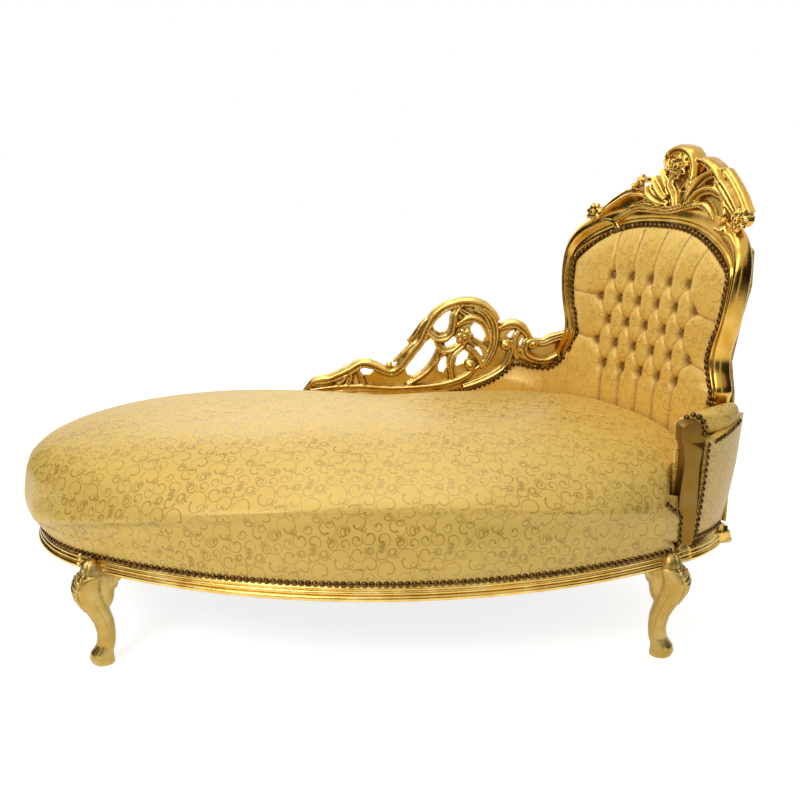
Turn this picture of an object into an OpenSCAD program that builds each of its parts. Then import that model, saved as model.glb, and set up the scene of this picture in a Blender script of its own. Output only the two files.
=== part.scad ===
// Chaise longue with a carved and pierced show frame, a domed seat and a deep tufted back.
// The seat is one long cushion on a reeded rail, round at the foot and bowed along the front.
// A barrel back stands across the head end, with a short padded arm at the front
// and a pierced carved side along the rear.

/* [Seat] */
// distance between the centres of the two round ends
end_spacing = 998; // [960:2:1060]
// radius of the round ends, and half the depth of the straight part
end_r = 340; // [320:1:360]
// how far the front bows out from the seat's centre line
front_reach = 469; // [430:1:500]
// height of the underside of the seat rail
rail_bottom = 214; // [190:1:240]
// height of the top of the seat rail
rail_top = 256; // [248:1:270]
// thickness of the seat rail behind its reeds
rail_thick = 28; // [22:1:34]

/* [Cushion] */
// height of the middle of the seat
crown_z = 504; // [490:1:540]
// height where the cushion is widest
belly_z = 328; // [305:1:345]
// how far the cushion hangs over the rail along the front
front_overhang = 12; // [6:1:20]
// how much more it hangs over at the foot end
foot_overhang = 25; // [0:1:40]

/* [Back] */
// height of the middle of the back
back_mid_z = 678; // [650:1:700]
// radius that the back curves to round the sitter
barrel_r = 1100; // [1000:10:1300]
// slope of the back in degrees
back_lean = 3; // [0:0.5:6]
// thickness of the stuffing in the middle of the back
stuffing = 38; // [28:1:44]
// distance between the buttons of one row
button_pitch = 66; // [58:1:70]
// distance between the rows of buttons
row_pitch = 58; // [52:1:62]
// diameter of a button
button_d = 19; // [15:1:24]
// how deep the buttons draw the stuffing in
button_sink = 20; // [12:1:24]

/* [Show frame] */
// thickness of the show frame behind its face
frame_depth = 28; // [22:1:32]
// height of the frame's rounded ridge above its face
ridge = 14; // [10:1:22]
// thickness of the pierced carving without its relief
carving_depth = 16; // [12:1:20]
// relief of the carved leaves
relief = 12; // [8:1:16]

/* [Legs] */
// width of a leg at its knee
knee_w = 60; // [52:1:68]
// width of a leg above its foot
ankle_w = 42; // [36:1:48]
// width of the foot
foot_w = 48; // [42:1:56]
// how far the knee stands out past the ankle
knee_out = 32; // [24:1:38]

/* [Arm] */
// height of the front post of the arm
post_top = 536; // [515:1:550]
// width of the arm's pad
pad_w = 68; // [58:1:76]
// thickness of the arm's pad
pad_h = 48; // [36:1:56]

/* [Hidden] */
$fn = 96;
fit = 0.3;
gold = [0.80, 0.63, 0.27];
beech = [0.72, 0.56, 0.38];
cloth = [0.87, 0.74, 0.42];
lining = [0.24, 0.20, 0.16];
jute = [0.70, 0.60, 0.42];

// the part's frame lies under the middle of its own box
seat_centre = [25, 51];
half = end_spacing / 2;
mid_x = 6;
head = [mid_x + half, 0];
foot = [mid_x - half, 0];

// the front bow touches both round ends
bow_r = (half * half + front_reach * front_reach - end_r * end_r) / (2 * (front_reach - end_r));
bow_y = bow_r - front_reach;
bow_turn = atan2(half, bow_y);
touch_run = half + end_r * sin(bow_turn);
touch_y = -end_r * cos(bow_turn);

// the rail behind the back follows the back's barrel, through a fixed middle
end_rail_r = 1135;
end_rail_turn = 27;
end_rail_mid = [head[0] + 190.3, 99.3];
end_rail_c = end_rail_mid - end_rail_r * [cos(end_rail_turn), sin(end_rail_turn)];
end_rail_half = 18500 / end_rail_r;

// leg centres on the round ends, the way each knee points and the way each post faces
leg_front_foot_at = foot + (end_r + 5.5) * [cos(249.7), sin(249.7)];
leg_front_head_at = head + (end_r - 0.6) * [cos(-72.7), sin(-72.7)];
leg_rear_foot_at = foot + (end_r - 2.5) * [cos(107.4), sin(107.4)];
leg_rear_head_at = head + [-13, end_r - 22];
knee_turn = 25;
post_w = 44;
post_deep = 36;
post_set = 25;

// the front post of the arm stands on the head end's outline
post_deep_y = 40;
post_front = 30 - end_r;
post_back = post_front + post_deep_y;
post_at = head + [sqrt(end_r * end_r - pow(end_r - 50, 2)), 50 - end_r];

// the back stands across the head end
back_at = head + [172, 90];
back_turn = -63;
back_push = 5;
back_bend = 0.00065;
bend_from = 60;
pad_bottom = -240;
pad_top = 246;
shoulder_drop = 100;
base_v = rail_top - back_mid_z;
side_face = end_r - 14;

function mix(a, b, t) = a + (b - a) * t;
function clamp(x, lo, hi) = min(max(x, lo), hi);
function ease(t) = let (c = clamp(t, 0, 1)) c * c * (3 - 2 * c);
function polar(c, r, a) = [c[0] + r * cos(a), c[1] + r * sin(a)];

// value at x of a curve given as [x, value] pairs
function along(t, x) =
    x <= t[0][0] ? t[0][1]
    : x >= t[len(t) - 1][0] ? t[len(t) - 1][1]
    : let (i = [for (k = [0:len(t) - 2]) if (x >= t[k][0] && x <= t[k + 1][0]) k][0],
           f = (x - t[i][0]) / (t[i + 1][0] - t[i][0]))
      mix(t[i][1], t[i + 1][1], f * f * (3 - 2 * f));

// faces of a closed tube of m rings with s points each, with flat ends
function tube_faces(m, s) = concat(
    [for (i = [0:m - 2]) for (j = [0:s - 1])
        [i * s + j, (i + 1) * s + j, (i + 1) * s + (j + 1) % s]],
    [for (i = [0:m - 2]) for (j = [0:s - 1])
        [i * s + j, (i + 1) * s + (j + 1) % s, i * s + (j + 1) % s]],
    [[for (j = [0:s - 1]) j]],
    [[for (j = [s - 1:-1:0]) (m - 1) * s + j]]);

module tube(rings) {
    polyhedron(points = [for (r = rings) each r], faces = tube_faces(len(rings), len(rings[0])));
}
function flipped(rings) = [for (i = [len(rings) - 1:-1:0]) rings[i]];

// a curve through points that may carry further numbers, such as a width
function spline(p, n) = let (m = len(p) - 1) concat(
    [for (i = [0:m - 1])
        let (a = p[max(i - 1, 0)], b = p[i], c = p[i + 1], d = p[min(i + 2, m)])
        for (k = [0:n - 1])
            let (t = k / n)
            0.5 * (2 * b + (c - a) * t + (2 * a - 5 * b + 4 * c - d) * t * t
            + (3 * b - a - 3 * c + d) * t * t * t)],
    [p[m]]);

// the back's own coordinates: u across it, v up it from its middle, n out toward the sitter
function lean(v) = v * tan(back_lean)
    + (v > bend_from ? 0.5 * back_bend * pow(v - bend_from, 2) : 0);
function on_barrel(u, v, n) =
    let (a = u / barrel_r * 180 / PI, r = barrel_r - n - back_push + lean(v))
    [r * sin(a), r * cos(a) - barrel_r, back_mid_z + v];
module at_back() {
    translate([back_at[0], back_at[1], 0]) rotate([0, 0, back_turn]) children();
}

// a point of a carving: on the barrel back, or on the flat rear side
crest_face = 8;
function carve_point(curved, a, b, n) = curved ? on_barrel(a, b, n + crest_face) : [a, side_face - n, b];

// one carved band: points [across, up, half width, height], a rounded front and a flat back
leaf_form = [[-1, 0], [-0.68, 0.74], [-0.1, 1], [0.5, 0.66], [1, 0]];
reed_form = [[-1, 0], [-0.62, 1], [0, 0.55], [0.62, 1], [1, 0]];
stem_form = [[-1, 0], [-0.55, 0.9], [0.55, 0.9], [1, 0]];
ground_form = [[-1, -1], [1, -1]];
function band_ring(curved, p, dir, form, back) = let (side = [-dir[1], dir[0]]) [
    each [for (q = form) carve_point(curved, p[0] + side[0] * q[0] * p[2],
        p[1] + side[1] * q[0] * p[2], q[1] * p[3])],
    carve_point(curved, p[0] + side[0] * p[2], p[1] + side[1] * p[2], -back),
    carve_point(curved, p[0] - side[0] * p[2], p[1] - side[1] * p[2], -back)];
module band(curved, pts, form = leaf_form, steps = 2, back = carving_depth) {
    c = spline(pts, steps);
    m = len(c) - 1;
    tube([for (i = [m:-1:0])
        let (a = c[max(i - 1, 0)], b = c[min(i + 1, m)], d = [b[0] - a[0], b[1] - a[1]])
        band_ring(curved, c[i], d / norm(d), form, back)]);
}

// a flower of petals round a boss, or a round boss alone when it has no petals
module flower(curved, at, r, petals, high = relief, back = carving_depth) {
    p = carve_point(curved, at[0], at[1], 0);
    lay = curved ? -at[0] / barrel_r * 180 / PI : 0;
    translate(p) rotate([90, 0, lay]) {
        for (k = [1:1:petals])
            rotate([0, 0, 360 / petals * k]) hull() {
                translate([r * 0.68, 0, -back])
                    cylinder(h = back + high * 0.7, r1 = r * 0.33, r2 = r * 0.22, $fn = 6);
                translate([r * 0.2, 0, -back]) cylinder(h = back + high * 0.35, r = r * 0.16, $fn = 3);
            }
        w = petals > 0 ? 0.4 : 1;
        hull() {
            translate([0, 0, -back]) cylinder(h = back + high * 0.5, r = r * w, $fn = 10);
            translate([0, 0, high])
                cylinder(h = high * 0.25, r1 = r * w * 0.7, r2 = r * w * 0.3, $fn = 10);
        }
    }
}

// seat rail: three reeds under a tacking strip, drawn at the distance r from its centre
module rail_section(r) {
    translate([r + 5.5, rail_bottom + 6.5]) circle(6.5, $fn = 32);
    translate([r + 3, rail_bottom + 17.5]) circle(5, $fn = 32);
    translate([r + 2, rail_bottom + 26]) circle(4, $fn = 32);
    translate([r - rail_thick, rail_bottom]) square([rail_thick + 4, 31]);
    translate([r - rail_thick, rail_bottom + 30]) square([rail_thick - 2, rail_top - rail_bottom - 30]);
}

module rail_arc(c, r, from, to) {
    translate([c[0], c[1], 0]) rotate([0, 0, from])
        rotate_extrude(angle = to - from, $fn = 180) rail_section(r);
}

module at_seat() {
    translate([seat_centre[0], seat_centre[1], 0]) children();
}

// the square post of a leg inside the rails, which may run down into the leg
module leg_post(at, face, clear = 0, below = 0) {
    translate([at[0], at[1], 0]) rotate([0, 0, face])
        translate([-post_deep - post_set + 14 - clear, -post_w / 2 - clear, rail_bottom - clear - below])
            cube([post_deep + 2 * clear, post_w + 2 * clear,
                rail_top - rail_bottom - 2 + 2 * clear + below]);
}

function facing(c, p) = atan2(p[1] - c[1], p[0] - c[0]);
module all_posts(clear = 0) {
    leg_post(leg_front_foot_at, facing(foot, leg_front_foot_at), clear);
    leg_post(leg_front_head_at, facing(head, leg_front_head_at), clear);
    leg_post(leg_rear_foot_at, facing(foot, leg_rear_foot_at), clear);
    leg_post(leg_rear_head_at, 90, clear);
}

module inside_end_rail() {
    translate([end_rail_c[0], end_rail_c[1], 0])
        cylinder(h = 400, r = end_rail_r - rail_thick, $fn = 180);
}

module front_seat_rail() color(gold) at_seat() difference() {
    rail_arc([mid_x, bow_y], bow_r, -90 - bow_turn, -90 + bow_turn);
    all_posts(0.05);
}

module foot_end_rail() color(gold) at_seat() difference() {
    rail_arc(foot, end_r, 90, 270 - bow_turn);
    all_posts(0.05);
}

module back_seat_rail() color(gold) at_seat() difference() {
    intersection() {
        translate([mid_x - half, 0, 0]) rotate([90, 0, 90])
            linear_extrude(height = 2 * half) rail_section(end_r);
        inside_end_rail();
    }
    all_posts(0.05);
}

module arm_side_rail() color(gold) at_seat() difference() {
    intersection() {
        rail_arc(head, end_r, -90 + bow_turn, -20);
        inside_end_rail();
    }
    all_posts(0.05);
}

module back_end_rail() color(gold) at_seat()
    rail_arc(end_rail_c, end_rail_r, end_rail_turn - end_rail_half, end_rail_turn + end_rail_half);

// plan of the seat, drawn in by a distance all round
module seat_plan(inset) {
    r = end_r - inset;
    reach = 1400;
    intersection() {
        union() {
            for (c = [foot, head]) translate(c) circle(r, $fn = 180);
            translate([mid_x - half, 0]) square([2 * half, r]);
            translate([mid_x, 0]) intersection() {
                translate([0, bow_y]) circle(bow_r - inset, $fn = 180);
                polygon([[0, bow_y], [-reach * tan(bow_turn), bow_y - reach],
                    [reach * tan(bow_turn), bow_y - reach]]);
                translate([-half * 2, -half]) square([half * 4, half + r]);
            }
        }
        translate(end_rail_c) circle(end_rail_r - inset, $fn = 180);
    }
}

// blocks that tie the rails together where they meet
joint_at = [[mid_x - touch_run, touch_y], [mid_x + touch_run, touch_y],
    [foot[0], end_r], [head[0] - 20, end_r]];
module corner_blocks() color(beech) at_seat() difference() {
    translate([0, 0, rail_bottom + 4]) linear_extrude(height = 32) intersection() {
        difference() {
            seat_plan(rail_thick + fit);
            seat_plan(rail_thick + 24);
        }
        for (p = joint_at) translate([p[0] - 80, p[1] - 80]) square(160);
    }
    all_posts(0.2);
}

cross_rail_x = [-330, 0, 330];
cross_rail_w = 44;
module seat_cross_rails() color(beech) at_seat()
    translate([0, 0, rail_bottom + 6]) linear_extrude(height = 30) intersection() {
        seat_plan(rail_thick + fit);
        for (x = cross_rail_x)
            translate([x - cross_rail_w / 2, -front_reach]) square([cross_rail_w, front_reach + end_r]);
    }

strap_w = 50;
module seat_webbing() color(jute) at_seat() translate([0, 0, rail_top + 0.05])
    linear_extrude(height = 1.8)
        difference() {
            intersection() {
                seat_plan(rail_thick - 2);
                union() {
                    for (y = [-front_reach + 64:92:end_r])
                        translate([foot[0] - end_r, y]) square([end_spacing + 2 * end_r, strap_w]);
                    for (x = [foot[0] - end_r + 28:104:head[0] + end_r])
                        translate([x, -front_reach]) square([strap_w, front_reach + end_r]);
                }
            }
            translate([post_at[0] - 50, post_front - 90]) square([100, 91 + post_deep_y]);
        }

module dust_cover() color(lining) at_seat() difference() {
    translate([0, 0, rail_bottom + 1]) linear_extrude(height = 1.2) seat_plan(rail_thick + 0.2);
    all_posts(0.5);
}

// legs: [height, outward shift, width across, width along]
leg_rows = [
    [0, 8, 0.86, 0.86], [6, 11, 1, 1], [16, 13, 1.04, 1.04], [28, 12, 0.98, 0.98],
    [38, 6, 0.9, 0.9], [48, 2, 0.88, 0.88], [72, 0, 0.88, 0.88], [98, 3, 0.92, 0.92],
    [122, 11, 1.02, 1.02], [146, 21, 1.14, 1.14], [168, 29, 1.24, 1.24],
    [188, 32, 1.26, 1.26], [204, 28, 1.22, 1.22], [214, 22, 1.2, 1.2]];
leg_sides = 14;
leg_widths = [[0, foot_w], [34, foot_w], [52, ankle_w + 2], [110, ankle_w + 5],
    [168, knee_w - 12], [214, knee_w - 12]];
// a leg's section is rounded like a worn square, more so the nearer this is to 2
squareness = 2.6;
function leg_ring(row) =
    let (w = along(leg_widths, row[0]) * row[2] / 2, e = row[1] * knee_out / 32)
    [for (k = [0:leg_sides - 1])
        let (a = 360 / leg_sides * k, c = cos(a), s = sin(a),
             q = pow(pow(abs(c), squareness) + pow(abs(s), squareness), -1 / squareness))
        [e + w * q * c * (c > 0 ? 1.06 : 0.96), w * q * s * 0.98, row[0] * rail_bottom / 214]];

// leaf carved on the knee, scroll on the foot and an ear beside the knee
module leg(at, turn, face) {
    translate([at[0], at[1], 0]) rotate([0, 0, turn]) tube([for (r = leg_rows) leg_ring(r)]);
    translate([at[0], at[1], 0]) rotate([0, 0, face])
        for (e = [-1, 1]) translate([-21.3, 0, rail_bottom - 0.4]) mirror([0, e < 0 ? 1 : 0, 0])
            rotate([90, 0, 90]) linear_extrude(height = 23)
                polygon([[12, -48], [24, -38], [27, -26], [34, -20], [39, -10], [40, 0], [8, 0]]);
    leg_post(at, face, below = 25.3);
}

module leg_front_foot() color(gold) at_seat()
    leg(leg_front_foot_at, 180 + knee_turn, facing(foot, leg_front_foot_at));

module leg_front_head() color(gold) at_seat()
    leg(leg_front_head_at, -knee_turn, facing(head, leg_front_head_at));

module leg_rear_foot() color(gold) at_seat()
    leg(leg_rear_foot_at, 180 - knee_turn, facing(foot, leg_rear_foot_at));

module leg_rear_head() color(gold) at_seat() leg(leg_rear_head_at, 60, 90);

// the seat cushion is drawn along rays from the seat's centre
cushion_rays = 56;
dome_steps = [1, 0.985, 0.95, 0.89, 0.8, 0.69, 0.56, 0.42, 0.27, 0.12];
side_steps = [[-26, 0], [0, 0], [0.45, 0.12], [0.82, 0.4], [0.97, 0.7]];
back_clear = 68;
arm_inner_r = end_r - 50;
function ray_circle(c, r, a) = let (b = c[0] * cos(a) + c[1] * sin(a))
    b + sqrt(max(0, b * b - c[0] * c[0] - c[1] * c[1] + r * r));
function outline_at(a) =
    a > atan2(end_r, foot[0]) || a < atan2(touch_y, mid_x - touch_run) ? ray_circle(foot, end_r, a)
    : a < atan2(touch_y, mid_x + touch_run) ? ray_circle([mid_x, bow_y], bow_r, a)
    : a < atan2(end_r, head[0]) ? ray_circle(head, end_r, a)
    : end_r / sin(a);
function foot_share(a) = pow(max(0, -cos(a)), 8);
function hang(a) = front_overhang + foot_overhang * foot_share(a);
function plane_ray(a, d) =
    let (nx = sin(back_turn), ny = -cos(back_turn),
         k = nx * cos(a) + ny * sin(a), b = nx * back_at[0] + ny * back_at[1])
    k < -0.05 ? (d + b) / k : 5000;
function across_back(p) = (p[0] - back_at[0]) * cos(back_turn) + (p[1] - back_at[1]) * sin(back_turn);
function back_limit(a) =
    let (t0 = plane_ray(a, back_clear), u0 = clamp(across_back(polar([0, 0], t0, a)), -320, 320),
         t1 = plane_ray(a, back_clear + u0 * u0 / 2 / barrel_r),
         u1 = clamp(across_back(polar([0, 0], t1, a)), -320, 320))
    plane_ray(a, back_clear + u1 * u1 / 2 / barrel_r);
function side_limit(a) = a > 20 && a < 128 ? (side_face - 14) / sin(a) : 5000;
function arm_limit(a) = a > -26.5 && a < 0 ? ray_circle(head, arm_inner_r, a) : 5000;
function free_r(a) = outline_at(a) + hang(a);
function seat_r(a) = min(free_r(a), back_limit(a), side_limit(a), arm_limit(a));
function dome(a, r) =
    let (p = 2 + (cos(a) < 0 ? 1.3 : 0.7) * cos(a) * cos(a), t = clamp(r / free_r(a), 0, 1))
    belly_z + (crown_z - belly_z) * pow(1 - pow(t, p), 1 / p);
cushion_bottom = rail_top + 2.3;
function cushion_ray(a) =
    let (m = seat_r(a), o = min(outline_at(a) - 2, m), drop = belly_z - cushion_bottom)
    concat([for (s = side_steps)
            [s[0] < 0 ? o + s[0] : mix(o, m, s[0]), cushion_bottom + drop * s[1]]],
        [for (f = dome_steps) [m * f, dome(a, m * f)]]);
module seat_cushion() color(cloth) at_seat() {
    rays = [for (k = [0:cushion_rays - 1])
        let (a = -180 + 360 / cushion_rays * (k + 0.5)) [a, cushion_ray(a)]];
    levels = len(rays[0][1]);
    points = concat(
        [for (i = [0:levels - 1]) for (r = rays)
            [r[1][i][0] * cos(r[0]), r[1][i][0] * sin(r[0]), r[1][i][1]]],
        [[0, 0, cushion_bottom], [0, 0, crown_z]]);
    low = levels * cushion_rays;
    last = (levels - 1) * cushion_rays;
    polyhedron(points = points, faces = concat(
        [for (i = [0:levels - 2]) for (k = [0:cushion_rays - 1]) let (n = (k + 1) % cushion_rays)
            [i * cushion_rays + k, (i + 1) * cushion_rays + k, (i + 1) * cushion_rays + n]],
        [for (i = [0:levels - 2]) for (k = [0:cushion_rays - 1]) let (n = (k + 1) % cushion_rays)
            [i * cushion_rays + k, (i + 1) * cushion_rays + n, i * cushion_rays + n]],
        [for (k = [0:cushion_rays - 1]) [low, k, (k + 1) % cushion_rays]],
        [for (k = [0:cushion_rays - 1]) [low + 1, last + (k + 1) % cushion_rays, last + k]]));
}

// half width of the stuffed back at the height v, and the height of its top edge at the share s of it
pad_half = [[-240, 262], [-115, 264], [-92, 250], [-45, 230], [0, 240], [38, 254], [80, 261], [246, 261]];
function pad_top_at(s) = pad_top - shoulder_drop * pow(abs(s), 2.6);
button_mid = 14;
button_rows = [[2, 5], [1, 6], [0, 5], [-1, 6], [-2, 5]];
buttons = [for (r = button_rows) for (k = [0:r[1] - 1])
    [button_mid + (k - (r[1] - 1) / 2) * button_pitch, 4 + r[0] * row_pitch]];
function near_crease(p, a, b) =
    let (ab = b - a, t = clamp(((p - a) * ab) / (ab * ab), 0, 1)) norm(p - a - ab * t);
function pull(p) =
    let (pits = [for (q = buttons) norm(p - q)], near = min(pits),
         m = button_pitch / 2, n = row_pitch,
         folds = [for (i = [0:len(buttons) - 1]) if (pits[i] < button_pitch) each
             [for (d = [[m, n], [-m, n], [m, -n],
        [-m, -n]]) near_crease(p, buttons[i], buttons[i] + d)]])
    button_sink * exp(-pow(near / 20, 2))
    + (len(folds) > 0 ? 8 * exp(-pow(min(folds) / 9, 2)) : 0);
function stuffed(u, v, s, t) =
    let (side = pow(max(0, 1 - pow(abs(s), 5)), 0.5), up = pow(max(0, 1 - pow(clamp(t, 0, 1), 7)), 0.5))
    8 + (stuffing - 6) * side * up - pull([u, v]) * min(side, up);

// the stuffing's grid falls on the buttons, with its edge rows fitted to the outline
pad_cols = 28;
pad_rows = 24;
back_step = 4;
col_pitch = button_pitch / 4;
line_pitch = row_pitch / 3;
top_line = 7;
function col_u(i, w) =
    i == 0 ? -w : i == pad_cols ? w
    : i == 1 ? (-w + col_u(2, w)) / 2 : i == pad_cols - 1 ? (w + col_u(pad_cols - 2, w)) / 2
    : button_mid + (i - 15) * col_pitch;
function line_v(j, s) =
    j == 0 ? pad_bottom
    : j <= 20 ? 4 + (j - 13) * line_pitch
    : mix(4 + top_line * line_pitch, pad_top_at(s), (j - 20) / (pad_rows - 20));
function pad_uv(i, j) =
    let (w = along(pad_half, j <= 20 ? line_v(j, 0) : 200) - 2,
         u = col_u(i, w), v = line_v(j, u / (w + 2)))
    [u, v - 2 * j / pad_rows];
function pad_point(i, j) =
    let (p = pad_uv(i, j), w = along(pad_half, p[1]) - 2)
    on_barrel(p[0], p[1], j == 0 ? 18 : i == 0 || i == pad_cols || j == pad_rows ? 6
        : stuffed(p[0], p[1], p[0] / w, (p[1] - pad_bottom) / (pad_top_at(p[0] / w) - pad_bottom)));
function pad_back(i, j) = let (p = pad_uv(i, j)) on_barrel(p[0], p[1], -1.7);
module tufted_back() color(cloth) at_seat() at_back() {
    w = pad_cols + 1;
    h = pad_rows + 1;
    bw = pad_cols / back_step + 1;
    back0 = w * h;
    half_step = back_step / 2;
    points = concat(
        [for (j = [0:pad_rows]) for (i = [0:pad_cols]) pad_point(i, j)],
        [for (j = [0:pad_rows]) for (i = [0:back_step:pad_cols]) pad_back(i, j)]);
    front = [for (j = [0:pad_rows - 1]) for (i = [0:pad_cols - 1]) let (a = j * w + i)
        each [[a, a + w + 1, a + 1], [a, a + w, a + w + 1]]];
    rear = [for (j = [0:pad_rows - 1]) for (i = [0:bw - 2]) let (a = back0 + j * bw + i)
        each [[a, a + 1, a + bw + 1], [a, a + bw + 1, a + bw]]];
    sides = [for (j = [0:pad_rows - 1])
        let (a = j * w, b = back0 + j * bw, c = a + pad_cols, d = b + bw - 1)
        each [[a, b, b + bw], [a, b + bw, a + w], [c, d + bw, d], [c, c + w, d + bw]]];
    edges = [for (e = [0, 1]) for (i = [0:bw - 2])
        let (f = e * pad_rows * w + i * back_step, r = back0 + e * pad_rows * bw + i,
             fan = concat([for (k = [0:half_step - 1]) [r, f + k, f + k + 1]],
                 [[r, f + half_step, r + 1]],
                 [for (k = [half_step:back_step - 1]) [r + 1, f + k, f + k + 1]]))
        each [for (q = fan) e == 0 ? q : [q[0], q[2], q[1]]]];
    polyhedron(points = points, faces = concat(front, rear, sides, edges));
}

module tuft_buttons() color(cloth) at_seat() at_back() for (b = buttons) {
    s = abs(b[0]) / along(pad_half, b[1]);
    translate(on_barrel(b[0], b[1] - 1, stuffing - button_sink + 4.5 - 3 * pow(s, 5))) rotate([90, 0, -b[0] / barrel_r * 180 / PI]) intersection() {
        translate([0, 0, -button_d * 0.62 + 3]) sphere(d = button_d * 1.24, $fn = 48);
        cylinder(h = 20, d = button_d, $fn = 48);
    }
}

// show frame: [inner u, inner v, outer u, outer v, share of the ridge] up the left side to the top
frame_left = [
    [-264, -236, 288, -236, 0.2], [-266, -130, 290, -130, 0.3], [-262, -112, 304, -112, 1],
    [-251, -90, 298, -92, 1], [-238, -66, 286, -70, 1], [-232, -45, 279, -45, 1],
    [-236, -20, 281, -20, 1], [-242, 2, 285, 2, 1], [-256, 38, 296, 40, 1],
    [-263, 80, 302, 85, 1], [-264, 120, 306, 130, 1], [-263, 148, 304, 172, 0.9],
    [-252, 164, 292, 210, 0.8], [-234, 178, 270, 240, 0.7], [-206, 197, 232, 265, 0.55],
    [-158, 222, 175, 285, 0.4], [-105, 240, 115, 294, 0.35], [-52, 247, 56, 299, 0.3]];
frame_form = [[0, 8], [0.1, 8], [0.16, 13], [0.26, 13], [0.33, 5], [0.44, 8], [0.62, 19],
    [0.78, 20], [0.93, 12], [1, 2]];
frame_stations = concat(
    [for (f = frame_left) [[f[0], f[1]], [-f[2], f[3]], f[4]]],
    [[[0, pad_top + 2], [0, 300], 0.3]],
    [for (k = [len(frame_left) - 1:-1:0]) let (f = frame_left[k]) [[-f[0], f[1]], [f[2], f[3]], f[4]]]);
frame_face = 2;
function frame_rise(q, share) =
    q[1] > 8 ? 6 + (q[1] - 8) * share * ridge / 12 : q[1] * (q[0] > 0.9 ? 1 : 1 - 0.25 * share);
function frame_ring(f) = concat(
    [for (q = frame_form) let (p = mix(f[0], f[1], q[0]))
        on_barrel(p[0], p[1], frame_face + frame_rise(q, f[2]))],
    [on_barrel(f[1][0], f[1][1], -frame_depth), on_barrel(f[0][0], f[0][1], -frame_depth)]);
module frame_solid() tube(flipped([for (f = frame_stations) frame_ring(f)]));
module back_frame() color(gold) at_seat() at_back() frame_solid();

// posts that rake forward from the rail up to the show frame
post_u = 275;
post_half = 14;
post_rows = [[base_v + 0.1, -22, -43], [pad_bottom + 3.8, -2, -frame_depth]];
module back_posts() color(beech) at_seat() at_back() for (e = [-1, 1]) {
    u0 = e * post_u - post_half;
    u1 = e * post_u + post_half;
    tube([for (r = post_rows) [on_barrel(u0, r[0], r[1]), on_barrel(u1, r[0], r[1]),
        on_barrel(u1, r[0], r[2]), on_barrel(u0, r[0], r[2])]]);
}

cross_v = [-392, -290];
module back_cross_rails() color(beech) at_seat() at_back() for (v = cross_v) {
    turn = (post_u - post_half - 0.02) / barrel_r * 180 / PI;
    translate([0, -barrel_r, back_mid_z + v]) rotate([0, 0, 90 - turn])
        rotate_extrude(angle = 2 * turn, $fn = 180) translate([barrel_r - 8, 0]) square([20, 46]);
}

// a sheet bent to the barrel: rows of [height, half width, face], and its thickness
sheet_cols = 14;
function sheet_rings(rows, thick) = [for (r = rows) concat(
    [for (i = [0:sheet_cols]) on_barrel((2 * i / sheet_cols - 1) * r[1], r[0], r[2])],
    [for (i = [sheet_cols:-1:0]) on_barrel((2 * i / sheet_cols - 1) * r[1], r[0], r[2] - thick)])];
inner_rows = [[pad_bottom, 229, -4], [-92, 229, -4], [-45, 222, -4], [60, 232, -4],
    [160, 232, -4], [230, 110, -4]];
module back_inner_panel() color(jute) at_seat() at_back() tube(sheet_rings(inner_rows, 6));

outer_rows = [[base_v + 1, 292, -53], [-260, 290, -43], [-110, 286, -30], [-45, 262, -30],
    [60, 276, -30], [130, 290, -30], [205, 274, -30], [258, 190, -30]];
module outside_back_panel() color(cloth) at_seat() at_back() tube(sheet_rings(outer_rows, 5));

// front post of the arm, cut to a serpentine outline with a rounded cap
cap_z = 488;
module arm_post() color(gold) at_seat()
    translate([post_at[0], post_back, 0]) rotate([90, 0, 0]) linear_extrude(height = post_deep_y) {
        polygon([[-30.5, rail_top + 0.2], [-36.5, 280], [-41.5, 310], [-43.5, 345], [-42.5, 385],
            [-39.5, 425], [-39.5, 455], [-43.5, 478], [-49.5, 492], [1.5, 492], [-2.5, 470],
            [-5.5, 440], [-5.5, 400], [-4.5, 360], [-3.5, 320], [-4.5, 285], [-8.5, rail_top + 0.2]]);
        translate([-49.5, cap_z]) square([51, 20]);
        intersection() {
            translate([-24, cap_z + 13]) circle(34, $fn = 64);
            translate([-49.5, cap_z]) square([51, post_top - cap_z]);
        }
    }

// the arm curves back from the post, about the centre of the seat's round end
arm_from = -64;
arm_to = -41.5;
arm_back_to = 34;
module arm_sweep(to) {
    difference() {
        translate([head[0], 0, 0]) rotate([0, 0, arm_from])
            rotate_extrude(angle = to - arm_from, $fn = 180) children();
        translate([post_at[0] - 182.5, -2 * end_r, 0]) cube([184.4, 2 * end_r + post_back + 0.1, 800]);
    }
}

module arm_rail() color(beech) at_seat() arm_sweep(arm_to) translate([end_r - 34, 466]) square([38, 28]);

// pad of the arm: [share of its length, fullness, how far its middle lies out, half width, rise]
arm_rows = [[0, 0.84, -18, 34, 0], [0.08, 0.97, -16, 35, 4], [0.25, 1, -14, 35, 9],
    [0.45, 1, -10, 31, 13], [0.65, 0.98, -4, 26, 17], [0.85, 0.9, 1, 21, 20], [1, 0.66, 2, 19, 20]];
pad_sides = 14;
module arm_pad() color(cloth) at_seat() tube([for (r = flipped(arm_rows))
    [for (k = [0:pad_sides - 1])
        let (b = 360 / pad_sides * k, q = end_r + r[2] + cos(b) * r[3] * pad_w / 68 * r[1],
             a = mix(asin((-post_back - fit) / q), arm_back_to, r[0]), c = polar(head, q, -a))
        [c[0], c[1], 494.6 + pad_h / 2 + r[4] * 0.4 + sin(b) * (pad_h / 2 + r[4] * 0.4) * r[1]]]]);

module arm_inside_panel() color(cloth) at_seat() arm_sweep(arm_to)
    polygon([[arm_inner_r + 16, rail_top + 3], [arm_inner_r + 16, 465.5], [arm_inner_r + 4, 465.5],
        [arm_inner_r + 1.5, 440], [arm_inner_r + 1.5, 300], [arm_inner_r + 4, rail_top + 3]]);

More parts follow.
